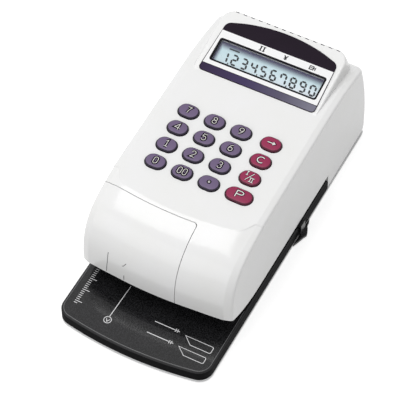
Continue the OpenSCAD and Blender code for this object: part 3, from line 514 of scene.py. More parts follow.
edgeForm = {"entry": 3.0, "slope": 20.0, "exit": 2.0, "width": 4.8}


def edgeBand(width, roundness):
    # (across, drop) from the face to the side: soft entry, straight chamfer, tight turn, or one round arc
    lean = radians(edgeForm["slope"])
    entry, out = edgeForm["entry"], edgeForm["exit"]
    line = [(entry * sin(lean * i / 3), entry * (1 - cos(lean * i / 3))) for i in range(4)]
    run = edgeForm["width"] - line[-1][0] - out * (1 - sin(lean))
    x, drop = line[-1][0] + run, line[-1][1] + run * tan(lean)
    for i in range(7):
        a = lean + (pi / 2 - lean) * i / 6
        line.append((x + out * (sin(a) - sin(lean)), drop + out * (cos(lean) - cos(a))))
    k = width / edgeForm["width"]
    made = []
    for i, (u, v) in enumerate(line):
        a = pi / 2 * i / (len(line) - 1)
        made.append((u * k * (1 - roundness) + width * sin(a) * roundness,
                     v * k * (1 - roundness) + width * (1 - cos(a)) * roundness))
    return made


def bowAt(x, y):
    # how far the nose's plan curve and its creases set a spot back
    reach = noseAxis - y
    bow = reach - sqrt(reach * reach - min(abs(x), body["bowEdge"]) ** 2)
    near = exp(-(((y - body["creaseY"]) / body["creaseFade"]) ** 2)) if y > body["creaseFront"] else 0.0
    out = max(0.0, min(abs(x) - body["creaseStart"], body["creaseCorner"] - 0.4))
    return bow + near * (body["creaseCorner"] - sqrt(body["creaseCorner"] ** 2 - out ** 2))


def loft(name, stations, half, inset=0.0, floorZ=None):
    # closed solid: rows of points follow the stations, inset goes inwards
    steps = [Vector((b[0] - a[0], b[1] - a[1])).normalized() for a, b in zip(stations, stations[1:])]
    along = [steps[0]] + [(a + b).normalized() for a, b in zip(steps, steps[1:])] + [steps[-1]]
    rows = []
    h = half - inset
    columns = body["columns"]
    for (y, z, width, share, roundness), t in zip(stations, along):
        edge = edgeBand(max(0.7, width - inset), roundness)
        wide = edge[-1][0]
        spots = [(-(h - wide + u), v) for u, v in reversed(edge)]
        spots += [(-(h - wide) + 2 * (h - wide) * (i + 1) / columns, 0.0) for i in range(columns - 1)]
        spots += [(h - wide + u, v) for u, v in edge]
        row = []
        for x, drop in spots:
            py = y + t.y * (inset + drop)
            pz = z - t.x * (inset + drop)
            if share:
                bow = bowAt(x, y) * share
                onTop = z > keypadAt(y) - 0.02
                py += bow * tiltUp[1] if onTop else bow
                pz += bow * slope if onTop else 0.0
            row.append((x * taperAt(pz), py, pz))
        rows.append(row)
    if floorZ is not None:
        rows.insert(0, [(x, y, floorZ) for x, y, _ in rows[0]])
        rows.append([(x, y, floorZ) for x, y, _ in rows[-1]])
    width = len(rows[0])
    last = (len(rows) - 1) * width
    faces = [(i + j, i + j + 1, i + j + width + 1, i + j + width) for i in range(0, last, width)
             for j in range(width - 1)]
    faces += [(j + 1, j, last + j, last + j + 1) for j in range(width - 1)]
    faces += [tuple(range(0, last + 1, width)), tuple(range(last + width - 1, 0, -width))]
    return newObject(name, [p for row in rows for p in row], faces, [1 if inset else 0] * len(faces), shellSlots)


print("forming the body")
bodyStations = bodyProfile()
outer = loft("outer", bodyStations, body["half"])
cavity = loft("cavity", bodyStations, body["half"], body["wall"], -6.0)

block = {"start": 54.0, "slope": 11.0, "half": 46.2, "edge": 1.2, "corner": 9.5, "proud": 0.25, "draft": 0.09,
         "draftDepth": 14.0, "front": -3}
blockZ = keypadAt(block["start"])
blockSin, blockCos = sin(radians(block["slope"])), cos(radians(block["slope"]))


def onDisplay(x, s, h):
    return (x, block["start"] + s * blockCos - h * blockSin, blockZ + s * blockSin + h * blockCos)


def rearSpot(depth, h):
    # distance up the display face where a level meets the rear wall, set in by depth
    s = 40.0
    for _ in range(40):
        _, y, z = onDisplay(0, s, h)
        s += (rearAt(z, block["proud"] - depth) - y) * 0.8
    return s


def blockForm(name, inset, levels):
    # plan outlines with round rear corners, stacked along the display face's own height
    stack = []
    for h, pull in levels:
        half = block["half"] - inset - pull + block["draft"] * min(block["draftDepth"], max(0.0, -h))
        rear = rearSpot(inset + pull, h)
        r = block["corner"] - inset - pull
        outline = [(-half, block["front"] + inset), (half, block["front"] + inset)]
        outline += arcPoints(half - r, rear - r, r, 0, 90, 9) + arcPoints(-half + r, rear - r, r, 90, 180, 9)
        ring = [onDisplay(u, v, h) for u, v in outline]
        stack.append([(x * taperAt(z), y, z) for x, y, z in ring])
    return assemble(name, [rings(stack, [1 if inset else 0] * (len(stack) - 1))], shellSlots)


def roundedLevels(edge, steps):
    turn = [pi / 2 * i / steps for i in range(steps + 1)]
    return [(-26, 0), (-10, 0), (-edge - 0.5, 0)] + [(-edge * (1 - sin(a)), edge * (1 - cos(a)))
                                                     for a in turn]


blockSolid = blockForm("blockSolid", 0.0, roundedLevels(block["edge"], 5))
blockRoom = blockForm("blockRoom", body["wall"], [(-28, 0), (-body["wall"] - 0.7, 0), (-body["wall"], 0.6)])
uncut = [addObject("uncut", piece.data.copy()) for piece in (outer, blockSolid)]
carve(outer, blockSolid, "UNION")
carve(cavity, blockRoom, "UNION")
carve(outer, cavity)


def gapEdge():
    # paper gap under the head, from its rear end to the curve below the nose
    y, z, r = body["slotArcY"], body["slotZ"], body["slotArc"]
    edge = [(-200, -8), (body["rearStart"], -8), (body["rearStart"], z), (y, z)]
    edge += arcPoints(y, z + r, r, -90, -90 - body["slotTurn"], 16)[1:]
    return edge + [(-200, edge[-1][1])]


def coverOutline(grow):
    r = body["noseBow"] - body["coverDepth"] - grow
    x1 = body["coverEdge"] + grow
    spans = [-70 + (x1 - 2.4 + 70) * i / 24 for i in range(25)]
    arc = [(x, noseAxis - sqrt(r * r - x * x)) for x in spans]
    yEnd = noseAxis - sqrt(r * r - x1 * x1)
    corner = roundCorner(arc[-1], (x1, yEnd), (x1, yEnd - 9), body["coverCorner"], 6)
    return [p for p in arc if p[0] < corner[0][0] - 0.2] + corner + [(x1 - 0.3, -130), (-70, -130)]


carve(outer, cutter("gapTool", gapEdge(), -80, 80, alongX))
print("body cut")
cover = addObject("coverShell", outer.data.copy())
carve(outer, cutter("seamTool", coverOutline(body["seam"] / 2), -10, 130, upright))
carve(cover, cutter("coverTool", coverOutline(-body["seam"] / 2), -10, 130, upright), "INTERSECT")

keys = {
    "columns": (-29.8, -10.8, 8.2, 29.5), "firstRow": 20.5, "pitch": 14.9, "length": 14.0, "width": 10.5,
    "printLength": 18.3, "gap": 0.5, "rise": 1.8, "below": 3.2, "crown": 60.0, "crownEdge": 9.8, "edge": 0.7,
    "steps": 14, "rows": (("7", "8", "9", "arrow"), ("4", "5", "6", "clear"), ("1", "2", "3", "mode"),
                          ("0", "00", "dot", "print")),
}
keyPlan = []  # name, x, distance up the keypad, length, whether it is a function key
for rowIndex, names in enumerate(keys["rows"]):
    for colIndex, keyName in enumerate(names):
        size = keys["printLength"] if keyName == "print" else keys["length"]
        keyPlan.append((keyName, keys["columns"][colIndex], keys["firstRow"] - rowIndex * keys["pitch"], size,
                        colIndex == 3))

window = {"left": -38.0, "right": 39.5, "low": 9.9, "high": 28.3, "corner": 1.8, "frame": 1.25, "frameCorner": 1.0,
          "side": 0.3, "sideCorner": 1.3, "depth": 1.5, "panel": 1.6}
vents = {"count": 14, "pitch": 5.66, "width": 2.6, "depth": 0.9, "play": 0.02, "heights": (70, 74, 78, 82, 86, 92)}
vents["spots"] = [(i - (vents["count"] - 1) / 2) * vents["pitch"] for i in range(vents["count"])]
inlet = {"x": 28.0, "z": 52.0, "size": (16.6, 9.6), "switchX": -28.0, "switchSize": (7.3, 5.3), "deep": (100, 130)}


def windowRect(inset, corner):
    return roundedRect(window["left"] + inset, window["low"] + inset, window["right"] - inset, window["high"] - inset,
                       corner)


def keyRing(plan, grow):
    _, kx, kv, size, _ = plan
    return [(kx + u, kv + v) for u, v in pill(size, keys["width"], keys["steps"], grow)]


def makeVentShade():
    # dark strips on the floors of the vent grooves, painted shade for the depth of the vent slots
    outside, inside = 0.4, vents["depth"] + 0.35
    topOut, topIn = onDisplay(0, rearSpot(outside, -0.55), -0.55), onDisplay(0, rearSpot(inside, -0.3), -0.3)
    side = [(rearAt(z, block["proud"] - outside), z) for z in (70.5, 74, 78, 81)] + [topOut[1:], topIn[1:]]
    side += [(rearAt(z, block["proud"] - inside), z) for z in (81, 78, 74, 70.5)]
    reach = vents["width"] / 2 - vents["play"]
    made = assemble("ventShadeStrips", [slab(side, x - reach, x + reach, alongX) for x in vents["spots"]], ["holderGrey"],
                    "base")


def cutOpenings():
    # key holes, display opening, vent grooves, inlet and switch
    cuts = [slab(keyRing(plan, keys["gap"]), -6, 6, onKeypad, 2) for plan in keyPlan]
    cuts.append(slab(windowIn, -5, 3, onDisplay, 2))
    groove = [(rearAt(z, -vents["depth"]), z) for z in vents["heights"]] + [(125, 92), (125, 70)]
    reach = vents["width"] / 2
    cuts += [slab(groove, x - reach, x + reach, alongX, 2) for x in vents["spots"]]
    cuts.append(slab([(inlet["x"] + u, inlet["z"] + v) for u, v in pill(*inlet["size"])], *inlet["deep"], alongY, 2))
    dx, dz = inlet["switchSize"]
    cuts.append(slab(roundedRect(inlet["switchX"] - dx, inlet["z"] - dz, inlet["switchX"] + dx, inlet["z"] + dz, 0.8),
                     *inlet["deep"], alongY, 2))
    carve(outer, assemble("holeTool", cuts, shellSlots))


windowIn = windowRect(window["frame"], window["frameCorner"])
makeVentShade()
cutOpenings()
shading = {"near": 0.0004, "agree": 0.7, "inwards": 0.02}  # metres, cosine, share of the way to the face's middle


def shadedForm(source):
    # triangles of an uncut form, with the mean normal at each of its corners
    work = bmesh.new()
    work.from_mesh(source.data)
    bmesh.ops.triangulate(work, faces=work.faces)
    work.normal_update()
    tops = {v.index: Vector((0, 0, 0)) for v in work.verts}
    for face in work.faces:
        for v in face.verts:
            tops[v.index] += face.normal * face.calc_area()
    for top in tops.values():
        top.normalize()
    work.faces.ensure_lookup_table()
    return work, BVHTree.FromBMesh(work), tops


def formNormal(forms, spot, facing):
    # normal of the nearest uncut form that faces the same way
    best = None
    for work, tree, tops in forms:
        place, normal, index, away = tree.find_nearest(spot)
        if place is None or away > shading["near"] or normal.dot(facing) < shading["agree"]:
            continue
        if best is None or away < best[0]:
            corners = work.faces[index].verts
            a, b, c = [v.co for v in corners]
            n = (b - a).cross(c - a)
            span = n.length_squared
            if span < 1e-24:
                continue
            wa = (b - place).cross(c - place).dot(n) / span
            wb = (c - place).cross(a - place).dot(n) / span
            na, nb, nc = [tops[v.index] for v in corners]
            best = (away, (na * wa + nb * wb + nc * (1 - wa - wb)).normalized())
    return best[1] if best else None


def surfaceNormals(piece, forms):
    # outer faces take their shading from the uncut forms, cut faces stay flat
    mesh = piece.data
    normals = [None] * len(mesh.loops)
    for face in mesh.polygons:
        face.use_smooth = True
        for li in face.loop_indices:
            made = None
            if not face.material_index:
                spot = mesh.vertices[mesh.loops[li].vertex_index].co
                made = formNormal(forms, spot + (face.center - spot) * shading["inwards"], face.normal)
            normals[li] = tuple(face.normal if made is None else made)
    mesh.normals_split_custom_set(normals)


forms = [shadedForm(piece) for piece in uncut]
surfaceNormals(outer, forms)
surfaceNormals(cover, forms)
for form, piece in zip(forms, uncut):
    form[0].free()
    dropObject(piece)
outer.name = "headShell"
cover.name = "inkCoverShell"
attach(outer, "base")
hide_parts("upper_housing")
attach(cover, "cover")
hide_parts("ink_cover")
print("housing and cover done", len(outer.data.polygons), len(cover.data.polygons))


def glyphs():
    # legend strokes in mm around the key's middle: list of (points, closed)
    def bar(*points):
        return list(points), False
    six = [(0.95, 2.2), (0.15, 1.85), (-0.6, 1.1), (-1.08, 0.15)] + ellipse(0, -0.95, 1.25, 1.25, 180, 540, 18)
    drawn = {
        "0": [(ellipse(0, 1.0, 1.2, 1.25, 0, 180, 8) + ellipse(0, -1.0, 1.2, 1.25, 180, 360, 8), True)],
        "1": [bar((-0.9, 1.45), (0.1, 2.2), (0.1, -2.2)), bar((-0.9, -2.2), (1.1, -2.2))],
        "2": [bar(*ellipse(0, 0.95, 1.2, 1.25, 165, -35, 9), (-1.25, -2.2), (1.35, -2.2))],
        "3": [bar(*ellipse(0, 1.05, 1.1, 1.15, 155, -90, 8), *ellipse(0, -1.05, 1.25, 1.15, 90, -155, 9)[1:])],
        "4": [bar((0.6, -2.2), (0.6, 2.2), (-1.7, -0.8), (1.6, -0.8))],
        "5": [bar((1.1, 2.2), (-0.9, 2.2), (-1.1, 0.25), *ellipse(0, -0.8, 1.25, 1.4, 125, -145, 11))],
        "6": [bar(*six)],
        "7": [bar((-1.25, 2.2), (1.25, 2.2), (0.2, 0.2), (-0.2, -2.2))],
        "8": [(ellipse(0, 1.15, 1.05, 1.05, 0, 360, 14)[:-1], True),
              (ellipse(0, -1.1, 1.25, 1.15, 0, 360, 16)[:-1], True)],
        "9": [bar(*[(-u, -v) for u, v in six])],
        "dot": [(ellipse(0, 0, 0.5, 0.5, 0, 360)[:-1], True)],
        "arrow": [bar((-2.4, 0), (2.2, 0)), bar((1.0, 1.0), (2.3, 0), (1.0, -1.0))],
        "clear": [bar(*ellipse(0.2, 0, 2.2, 2.1, 48, 312, 16))],
        "mode": [bar((-2.5, 3.3), (-2.5, 0.7)), bar((-3.2, 3.3), (-1.8, 3.3)), bar((-3.2, 0.7), (-1.8, 0.7)),
                 bar((1.5, 3.0), (-1.9, -2.9)), bar((0.9, -0.4), (0.9, -3.2)), bar((2.3, -0.4), (2.3, -3.2)),
                 bar((0.2, -0.4), (3.0, -0.4)), bar((0.2, -3.2), (3.0, -3.2))],
        "print": [bar((-1.9, -2.3), (-1.9, 2.2), (0.6, 2.2), *ellipse(0.6, 1.0, 1.6, 1.2, 80, -80, 8), (0.6, -0.2),
                      (-1.9, -0.2))],
    }
    drawn["00"] = [([(u * 0.9 + shift, v) for u, v in drawn["0"][0][0]], True) for shift in (-1.65, 1.65)]
    return drawn


legend = {"digit": (0.38, 0.8), "function": (0.66, 0.5), "mode": (0.48, 0.34), "raise": 0.03, "shift": 0.35,
          "scale": 1.1}  # the first three are a stroke's width and its dark rim


def makeKeys():
    drawn = glyphs()
    for keyName, kx, kv, size, isFunction in keyPlan:
        rise, edge = keys["rise"], keys["edge"]

        def onTop(u, v, h):
            crown = (min(abs(u), keys["crownEdge"]) ** 2 + v * v) / (2 * keys["crown"])
            return onKeypad(kx + u, kv + v, rise - crown + h)

        def level(h, grow=0.0, share=1.0):
            return [onTop(u * share, v * share, h) for u, v in pill(size, keys["width"], keys["steps"], grow)]

        levels = [level(-rise - keys["below"]), level(-rise + 0.35)]
        for i in range(6):
            a = pi / 2 * i / 5
            levels.append(level(-edge * (1 - sin(a)), -edge * (1 - cos(a))))
        levels += [level(0, -edge, share) for share in (0.75, 0.5, 0.25, 0.04)]
        slots = [1] * 7 + [0] * (len(levels) - 7)  # the sides and rounded edge take the darker copy, painted shade of the gap around the key
        mats = ["keyCrimson", "keyCrimsonShaded"] if isFunction else ["keyViolet", "keyVioletShaded"]
        cap = assemble("keyTop_" + keyName, [rings(levels, slots)], mats, "b_key_" + keyName, 35)
        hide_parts("key_" + keyName)

        marks = []
        ink, rim = legend["mode" if keyName == "mode" else "function" if isFunction else "digit"]
        for line, closed in drawn[keyName]:
            line = [(u * legend["scale"], v * legend["scale"] + legend["shift"]) for u, v in line]
            line = divide(line, 0.8, closed)
            marks.append(stroke(line, ink + 2 * rim, -0.1, legend["raise"], onTop, closed, 1))
            marks.append(stroke(line, ink, -0.08, legend["raise"] * 2, onTop, closed, 0))
        made = assemble("keyLegend_" + keyName, marks, ["keyLegend", "keyLegendEdge"], "b_key_" + keyName)


def makeShadedWells():
    # dark wells that the keys run in, near-black as painted shade in the gaps around the keys
    wide, tight, top, foot = keys["gap"] - 0.02, 0.06, -0.12, -2.1
    solids = []
    for plan in keyPlan:
        levels = [[onKeypad(u, v, h) for u, v in keyRing(plan, grow)]
                  for grow, h in ((wide, top), (tight, top), (tight, foot), (wide, foot), (wide, top))]
        solids.append(rings(levels, capped=False))
    made = assemble("keyWells", solids, ["wellShadeBlack"], "base")


print("making the keys")
makeKeys()
makeShadedWells()

label = {
    "middle": 0.7, "halfLow": 42.0, "halfHigh": 40.8, "low": 0.9, "high": 35.0, "lowCorner": 2.8, "shoulderAt": 40.0,
    "crown": 47.8, "arch": 111.0, "topCorner": 5.0, "thick": 0.45, "line": 0.42, "bandLow": 6.9, "bandHigh": 34.0,
    "footGap": 0.45, "ink": 0.07, "gloss": 0.1,
    "foot": [(0.0, (0.028, 0.016, 0.045)), (0.45, (0.055, 0.04, 0.105)), (0.75, (0.1, 0.09, 0.14)),
             (1.0, (0.19, 0.185, 0.24))],
}


def labelSide(s, inset=0.0):
    share = (s - label["low"]) / (label["high"] - label["low"])
    return label["halfLow"] + (label["halfHigh"] - label["halfLow"]) * share - inset


def labelOutline(inset=0.0):
    mid, low = label["middle"], label["low"] + inset
    radius = label["arch"] - inset
    centre = label["crown"] - label["arch"]

    def archAt(u):
        return centre + sqrt(radius ** 2 - u * u)
    meet = archAt(labelSide(label["shoulderAt"], inset))
    half = labelSide(meet, inset)
    inner = half - 9
    top = roundCorner((half, meet - 9), (half, meet), (inner, archAt(inner)), label["topCorner"], 7)
    spans = [(inner - 2) * (1 - 2 * i / 22) for i in range(23)]
    r = label["lowCorner"] - inset * 0.6
    right = arcPoints(labelSide(low, inset) - r, low + r, r, -90, 0, 6) + top
    left = [(-u, s) for u, s in reversed(right)]
    return [(mid + u, s) for u, s in right + [(u, archAt(u)) for u in spans] + left]


def bandShape(low, high, inset):
    mid = label["middle"]
    return [(mid - labelSide(low, inset), low), (mid + labelSide(low, inset), low),
            (mid + labelSide(high, inset), high), (mid - labelSide(high, inset), high)]


def clipLow(outline, limit):
    # keeps the part of a closed outline below a level
    out = []
    for a, b in zip(outline, outline[1:] + outline[:1]):
        if a[1] <= limit:
            out.append(a)
        if (a[1] - limit) * (b[1] - limit) < 0:
            t = (limit - a[1]) / (b[1] - a[1])
            out.append((a[0] + (b[0] - a[0]) * t, limit))
    return out


def facePlane(tree, lift):
    # object coordinates laid along the display face: X across, Y up the face
    coords = addNode(tree, "ShaderNodeTexCoord")
    mapping = addNode(tree, "ShaderNodeMapping", {"Rotation": (-radians(block["slope"]), 0, 0),
                                                  "Location": (0, -lift * mm, 0), "Vector": coords.outputs["Object"]})
    return addNode(tree, "ShaderNodeSeparateXYZ", {"Vector": mapping.outputs["Vector"]}).outputs


def violetRun(rough=0.55):
    # the foot's colour runs across the label
    tree, shader = newMaterial("labelViolet")
    cloud = noiseAt(tree, 420, 4)
    across = between(tree, facePlane(tree, 0)["X"], -label["halfLow"], label["halfLow"], False)
    mixed = mathNode(tree, "MULTIPLY_ADD", {0: cloud, 1: 0.08, 2: across})
    feed(tree, shader, {"Base Color": rampOf(tree, mixed, label["foot"]), "Specular IOR Level": label["gloss"],
                        "Roughness": spread(tree, cloud, rough - 0.05, rough + 0.05)})


def lcdPaleWithPaintedShade():
    # pale display with painted shade of the frame along its top and left edges
    tree, shader = newMaterial("lcdPale")
    face = facePlane(tree, block["start"] * blockCos + blockZ * blockSin)
    grain = noiseAt(tree, 900, 3)
    tone = between(tree, face["Y"], window["low"], window["high"] - 4)
    across = between(tree, face["X"], window["left"], window["right"], False)
    base = blendOf(tree, across, blendOf(tree, tone, lcd["leftLow"], lcd["high"]),
                   blendOf(tree, tone, lcd["low"], lcd["high"]))
    top = between(tree, face["Y"], window["high"] - lcd["topShade"][0], window["high"] - lcd["topShade"][1])
    left = between(tree, face["X"], window["left"] + lcd["leftShade"][0], window["left"] + lcd["leftShade"][1])
    both = mathNode(tree, "MAXIMUM", {0: top, 1: left})
    grey = rampOf(tree, grain, [(0.3, (0.94, 0.95, 0.96)), (0.7, (1, 1, 1))])
    strength = mathNode(tree, "ADD", {0: both, 1: 0.6})
    shaded = blendOf(tree, strength, blendOf(tree, both, base, lcd["shade"]), grey, "MULTIPLY")
    feed(tree, shader, {"Base Color": shaded, "Roughness": spread(tree, grain, 0.3, 0.42), "Specular IOR Level": 0.3})


def clearPane():
    # thin clear plastic with a faint haze and gloss
    tree, shader = newMaterial("clearPane")
    haze = noiseAt(tree, 60, 3)
    feed(tree, shader, {"Base Color": rampOf(tree, haze, [(0.3, (0.5, 0.58, 0.62)), (0.7, (0.62, 0.68, 0.72))]),
                        "Roughness": spread(tree, haze, 0.1, 0.2), "Alpha": spread(tree, haze, 0.03, 0.06)})


lcd = {
    "low": (0.84, 0.88, 0.94), "high": (0.57, 0.74, 0.79), "leftLow": (0.6, 0.75, 0.8), "shade": (0.03, 0.02, 0.085),
    "topShade": (7.4, 2.0), "leftShade": (4.6, 1.6), "firstX": -29.6, "pitch": 7.08, "base": 12.6, "height": 8.5,
    "width": 4.9, "stroke": 1.32, "lean": -0.17, "bar": 0.05, "digits": "1234567890", "commas": (0, 3, 6),
    "dash": (-25.8, 23.6, 7.6, 1.0),
}
segments = {"0": "abcdef", "1": "bc", "2": "abged", "3": "abgcd", "4": "fgbc", "5": "afgcd", "6": "afgedc", "7": "abcf",
            "8": "abcdefg", "9": "abcdfg"}


def segmentShapes():
    # bars of a seven-bar figure, in its own upright frame
    w, h, t = lcd["width"], lcd["height"], lcd["stroke"]
    e, m, half = t / 2, 0.14, h / 2

    def level(s):
        return [(e + m, s), (t + m, s + e), (w - t - m, s + e), (w - e - m, s), (w - t - m, s - e), (t + m, s - e)]

    def post(x, low, high):
        return [(x, low + m), (x + e, low + e + m), (x + e, high - e - m), (x, high - m), (x - e, high - e - m),
                (x - e, low + e + m)]
    return {"a": level(h - e), "g": level(half), "d": level(e), "f": post(e, half, h - e), "c": post(w - e, e, half),
            "b": post(w - e, half, h - e), "e": post(e, e, half)}


def displayPlate(name, outline, low, high, skin, body=None):
    return assemble(name, [slab(outline, low, high, onDisplay)], [skin], body)


def makeLabel():
    top = label["thick"]
    frameOuter = windowRect(0, window["corner"])
    plate = displayPlate("labelPlate", labelOutline(), 0.0, top, "labelDark")
    carve(plate, cutter("labelHole", windowIn, -1, 2, onDisplay, 0))
    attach(plate, "base")
    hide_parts("display_label")

    shape = bandShape(label["bandLow"], label["bandHigh"], label["line"])
    band = displayPlate("labelBand", shape, top - 0.2, top + 0.04, "labelWhite")
    carve(band, cutter("bandHole", frameOuter, -1, 2, onDisplay, 0))
    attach(band, "base")

    violetRun()
    shape = clipLow(labelOutline(label["line"]), label["bandLow"] - label["footGap"])
    made = displayPlate("labelFoot", shape, top - 0.2, top + 0.04, "labelViolet", "base")

    liner = displayPlate("windowFrame", frameOuter, top - 0.1, top + 0.1, "inkBlack")
    carve(liner, cutter("frameHole", windowIn, -1, 2, onDisplay, 0))
    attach(liner, "base")


def makeWindow():
    top, deep = label["thick"] - 0.05, -window["depth"]
    grown = windowRect(window["side"], window["sideCorner"])
    levels = [[onDisplay(u, v, h) for u, v in outline]
              for outline, h in ((windowIn, top), (windowIn, deep), (grown, deep), (grown, top))]
    sides = assemble("windowSides", [rings(levels, capped=False)], ["labelDark"], "base")

    clearPane()
    pane = displayPlate("windowPane", windowIn, -0.25, 0.1, "clearPane", "base")
    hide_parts("lcd_window")

    lcdPaleWithPaintedShade()
    panel = displayPlate("lcdPanel", grown, deep - window["panel"], deep, "lcdPale", "base")
    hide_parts("lcd_glass")


def makeFigures():
    w, deep = lcd["width"], -window["depth"]
    shapes = segmentShapes()
    tail = [(w + 0.55, 0.75), (w + 1.35, 0.75), (w + 1.15, -0.2), (w + 0.45, -1.0), (w + 0.2, -0.8), (w + 0.6, -0.1)]
    outlines = []
    for i, digit in enumerate(lcd["digits"]):
        x0 = lcd["firstX"] + i * lcd["pitch"] - w / 2
        drawn = [shapes[bar] for bar in segments[digit]] + ([tail] if i in lcd["commas"] else [])
        outlines += [[(x0 + u + (v - lcd["height"] / 2) * lcd["lean"], lcd["base"] + v) for u, v in points]
                     for points in drawn]
    x, s, length, width = lcd["dash"]
    outlines.append([(x + u, s + v) for u, v in pill(length, width, 6)])
    made = assemble("lcdBars", [slab(points, deep, deep + lcd["bar"], onDisplay) for points in outlines], ["inkBlack"],
                    "base")


labelSigns = {
    "at": 31.2,  # each sign: its place across, then lines as (width, closed, points)
    "pair": (-9.0, [line for u in (-1.15, 1.15) for line in (
        (0.85, False, [(u, -1.6), (u, 1.6)]), (0.55, False, [(u - 0.95, 1.6), (u + 0.95, 1.6)]),
        (0.55, False, [(u - 0.95, -1.6), (u + 0.95, -1.6)]))]),
    "fork": (7.9, [(0.4, False, [(-1.15, -0.15), (1.15, -0.15)]), (0.4, False, [(-1.15, -0.95), (1.15, -0.95)])]),
    "forkShape": [(-1.7, 1.7), (-0.7, 1.7), (0, 0.6), (0.7, 1.7), (1.7, 1.7), (0.5, -0.1), (0.5, -1.7), (-0.5, -1.7),
                  (-0.5, -0.1)],
    "box": (27.2, [(0.65, True, [(-1.9, -1.2), (0.8, -1.2), (0.8, 1.3), (-1.9, 1.3)]),
                   (0.6, False, [(-1.4, 0.1), (1.9, 0.1)]), (0.6, False, [(2.1, 1.2), (2.1, -1.4)])]),
}


def makeLabelMarks():
    top = label["thick"]
    marks = []
    for sign in ("pair", "fork", "box"):
        x, lines = labelSigns[sign]

        def at(u, v, w):
            return onDisplay(x + u, labelSigns["at"] + v, w)
        if sign == "fork":
            marks.append(slab(labelSigns["forkShape"], top, top + label["ink"], at))
        marks += [stroke(points, width, top, top + label["ink"], at, closed) for width, closed, points in lines]
    made = assemble("labelMarks", marks, ["inkBlack"], "base")


print("making the display")
makeLabel()
makeWindow()
makeFigures()
makeLabelMarks()

table = {
    "half": 54.0, "front": -120.0, "bow": 254.0, "corner": 10.0, "low": 3.0, "top": 11.0, "rear": 60.0, "wall": 2.2,
    "bevelWide": 1.3, "bevelHigh": 0.8, "backGap": (51.8, 1.5, 2), "anvilPlay": 0.3, "rollerPlay": 0.4, "sharp": 24,
    "lineWide": 0.34, "lineIn": 1.65, "lineEnd": -60.0,
}


def tableOutline(inset=0.0):
    # front arc, two round corners and straight sides
    half, r = table["half"], table["corner"]
    axis = table["front"] + table["bow"]
    cx = half - r
    cy = axis - sqrt((table["bow"] - r) ** 2 - cx ** 2)
    lean = degrees(atan2(cx, axis - cy))
    corner = arcPoints(cx, cy, r - inset, -90 + lean, 0, 8)
    reach = table["bow"] - inset
    front = [(reach * sin(radians(a)), axis - reach * cos(radians(a)))
             for a in [-lean + 2 * lean * i / 28 for i in range(1, 28)]]
    right = corner + [(half - inset, table["rear"])]
    left = [(-x, y) for x, y in reversed(right)]
    return left + front + right


def makeTable():
    low, high = table["low"], table["top"]
    bevel, start = table["bevelWide"], high - table["bevelHigh"]
    section = ((0.25, low), (0.0, low + 0.25), (0.0, start - 0.22), (0.1, start), (0.42, start + 0.16),
               (bevel - 0.35, high - 0.1), (bevel, high - 0.02), (bevel + 0.4, high))
    levels = [[(x, y, z) for x, y in tableOutline(inset)] for inset, z in section]
    top = assemble("tableTop", [rings(levels, [1, 1, 1, 2, 2, 2, 0])], ["tableBlack", "tableEdge", "tableBevel"])
    carve(top, cutter("tableRoom", tableOutline(table["wall"]), low - 1, high - 1, upright, 0))
    boxes = []
    for (near, far), play in ((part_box("anvil"), table["anvilPlay"]), (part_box("feed_roller"), table["rollerPlay"])):
        boxes.append((near[0] * 1000 - play, near[1] * 1000 - play, far[0] * 1000 + play, far[1] * 1000 + play))
    half, front, behind = table["backGap"]
    boxes.append((-half, table["rear"] - front, half, table["rear"] + behind))
    holes = [slab(roundedRect(*box, 0.3, 2), -5, 30, upright) for box in boxes]
    carve(top, assemble("tableHoles", holes, shellSlots))
    top.data.shade_smooth()
    top.data.set_sharp_from_angle(angle=radians(table["sharp"]))
    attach(top, "base")
    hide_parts("print_table")

    edge = [p for p in tableOutline(table["lineIn"]) if p[1] < table["rear"] - 0.1]
    edge = [(edge[0][0], table["lineEnd"])] + edge + [(edge[-1][0], table["lineEnd"])]
    made = assemble("tableLine", [stroke(edge, table["lineWide"], high - 0.05, high + 0.03, upright)], ["tableLine"],
                    "base")


ruler = {"zero": -82.6, "step": 1.608, "first": -5, "last": 14, "x": -47.6, "short": -45.2, "long": -42.6,
         "every": 6, "width": 0.42}
tablePrints = {
    "line": 0.5, "ringLine": 0.42, "tagLine": 0.38, "ring": (-21.6, -105.9, 2.45), "tagCorner": 0.7, "tagPoint": 5.8,
    "lines": [[(-21.0, -76.0), (-21.7, -102.9)], [(5.5, -92.9), (23.4, -92.9)], [(5.0, -102.5), (23.8, -102.5)],
              [(20.6, -91.7), (20.6, -94.1)], [(22.0, -91.7), (22.0, -94.1)], [(21.0, -101.3), (21.0, -103.7)],
              [(22.4, -101.3), (22.4, -103.7)]],
    "arrow": [(-22.8, -105.0), (-21.5, -107.2), (-20.3, -105.0)],
    "tags": ((28.0, -93.6, -98.75, 48.1), (27.9, -102.75, -107.55, 47.5)),
}


def makeTableMarks():
    def ink(line, width, closed=False):
        marks.append(stroke(line, width, table["top"] - 0.02, table["top"] + 0.04, upright, closed))
    marks = []
    for k in range(ruler["first"], ruler["last"]):
        y = ruler["zero"] - ruler["step"] * k
        ink([(ruler["x"], y), (ruler["short" if k % ruler["every"] else "long"], y)], ruler["width"])
    for line in tablePrints["lines"]:
        ink(line, tablePrints["line"])
    ink(arcPoints(*tablePrints["ring"], 0, 360, 24)[:-1], tablePrints["ringLine"], True)
    ink(tablePrints["arrow"], tablePrints["ringLine"])
    c = tablePrints["tagCorner"]
    for x0, y0, low, x1 in tablePrints["tags"]:
        ink([(x0, y0), (x1 - c, y0), (x1, y0 - c), (x1, low + c), (x1 - c, low), (x0 + tablePrints["tagPoint"], low)],
            tablePrints["tagLine"], True)
    made = assemble("tableMarks", marks, ["tablePrint"], "base")


print("making the print table")
makeTable()
makeTableMarks()

coverMarks = {
    "width": 0.5, "lines": [[(-32.6, 48.2), (-32.8, 40.0), (-33.7, 29.8)],
                            [(-21.8, 42.9), (-20.7, 43.4), (-19.0, 46.3)], [(-20.3, 34.6), (-20.4, 29.8)]],
}


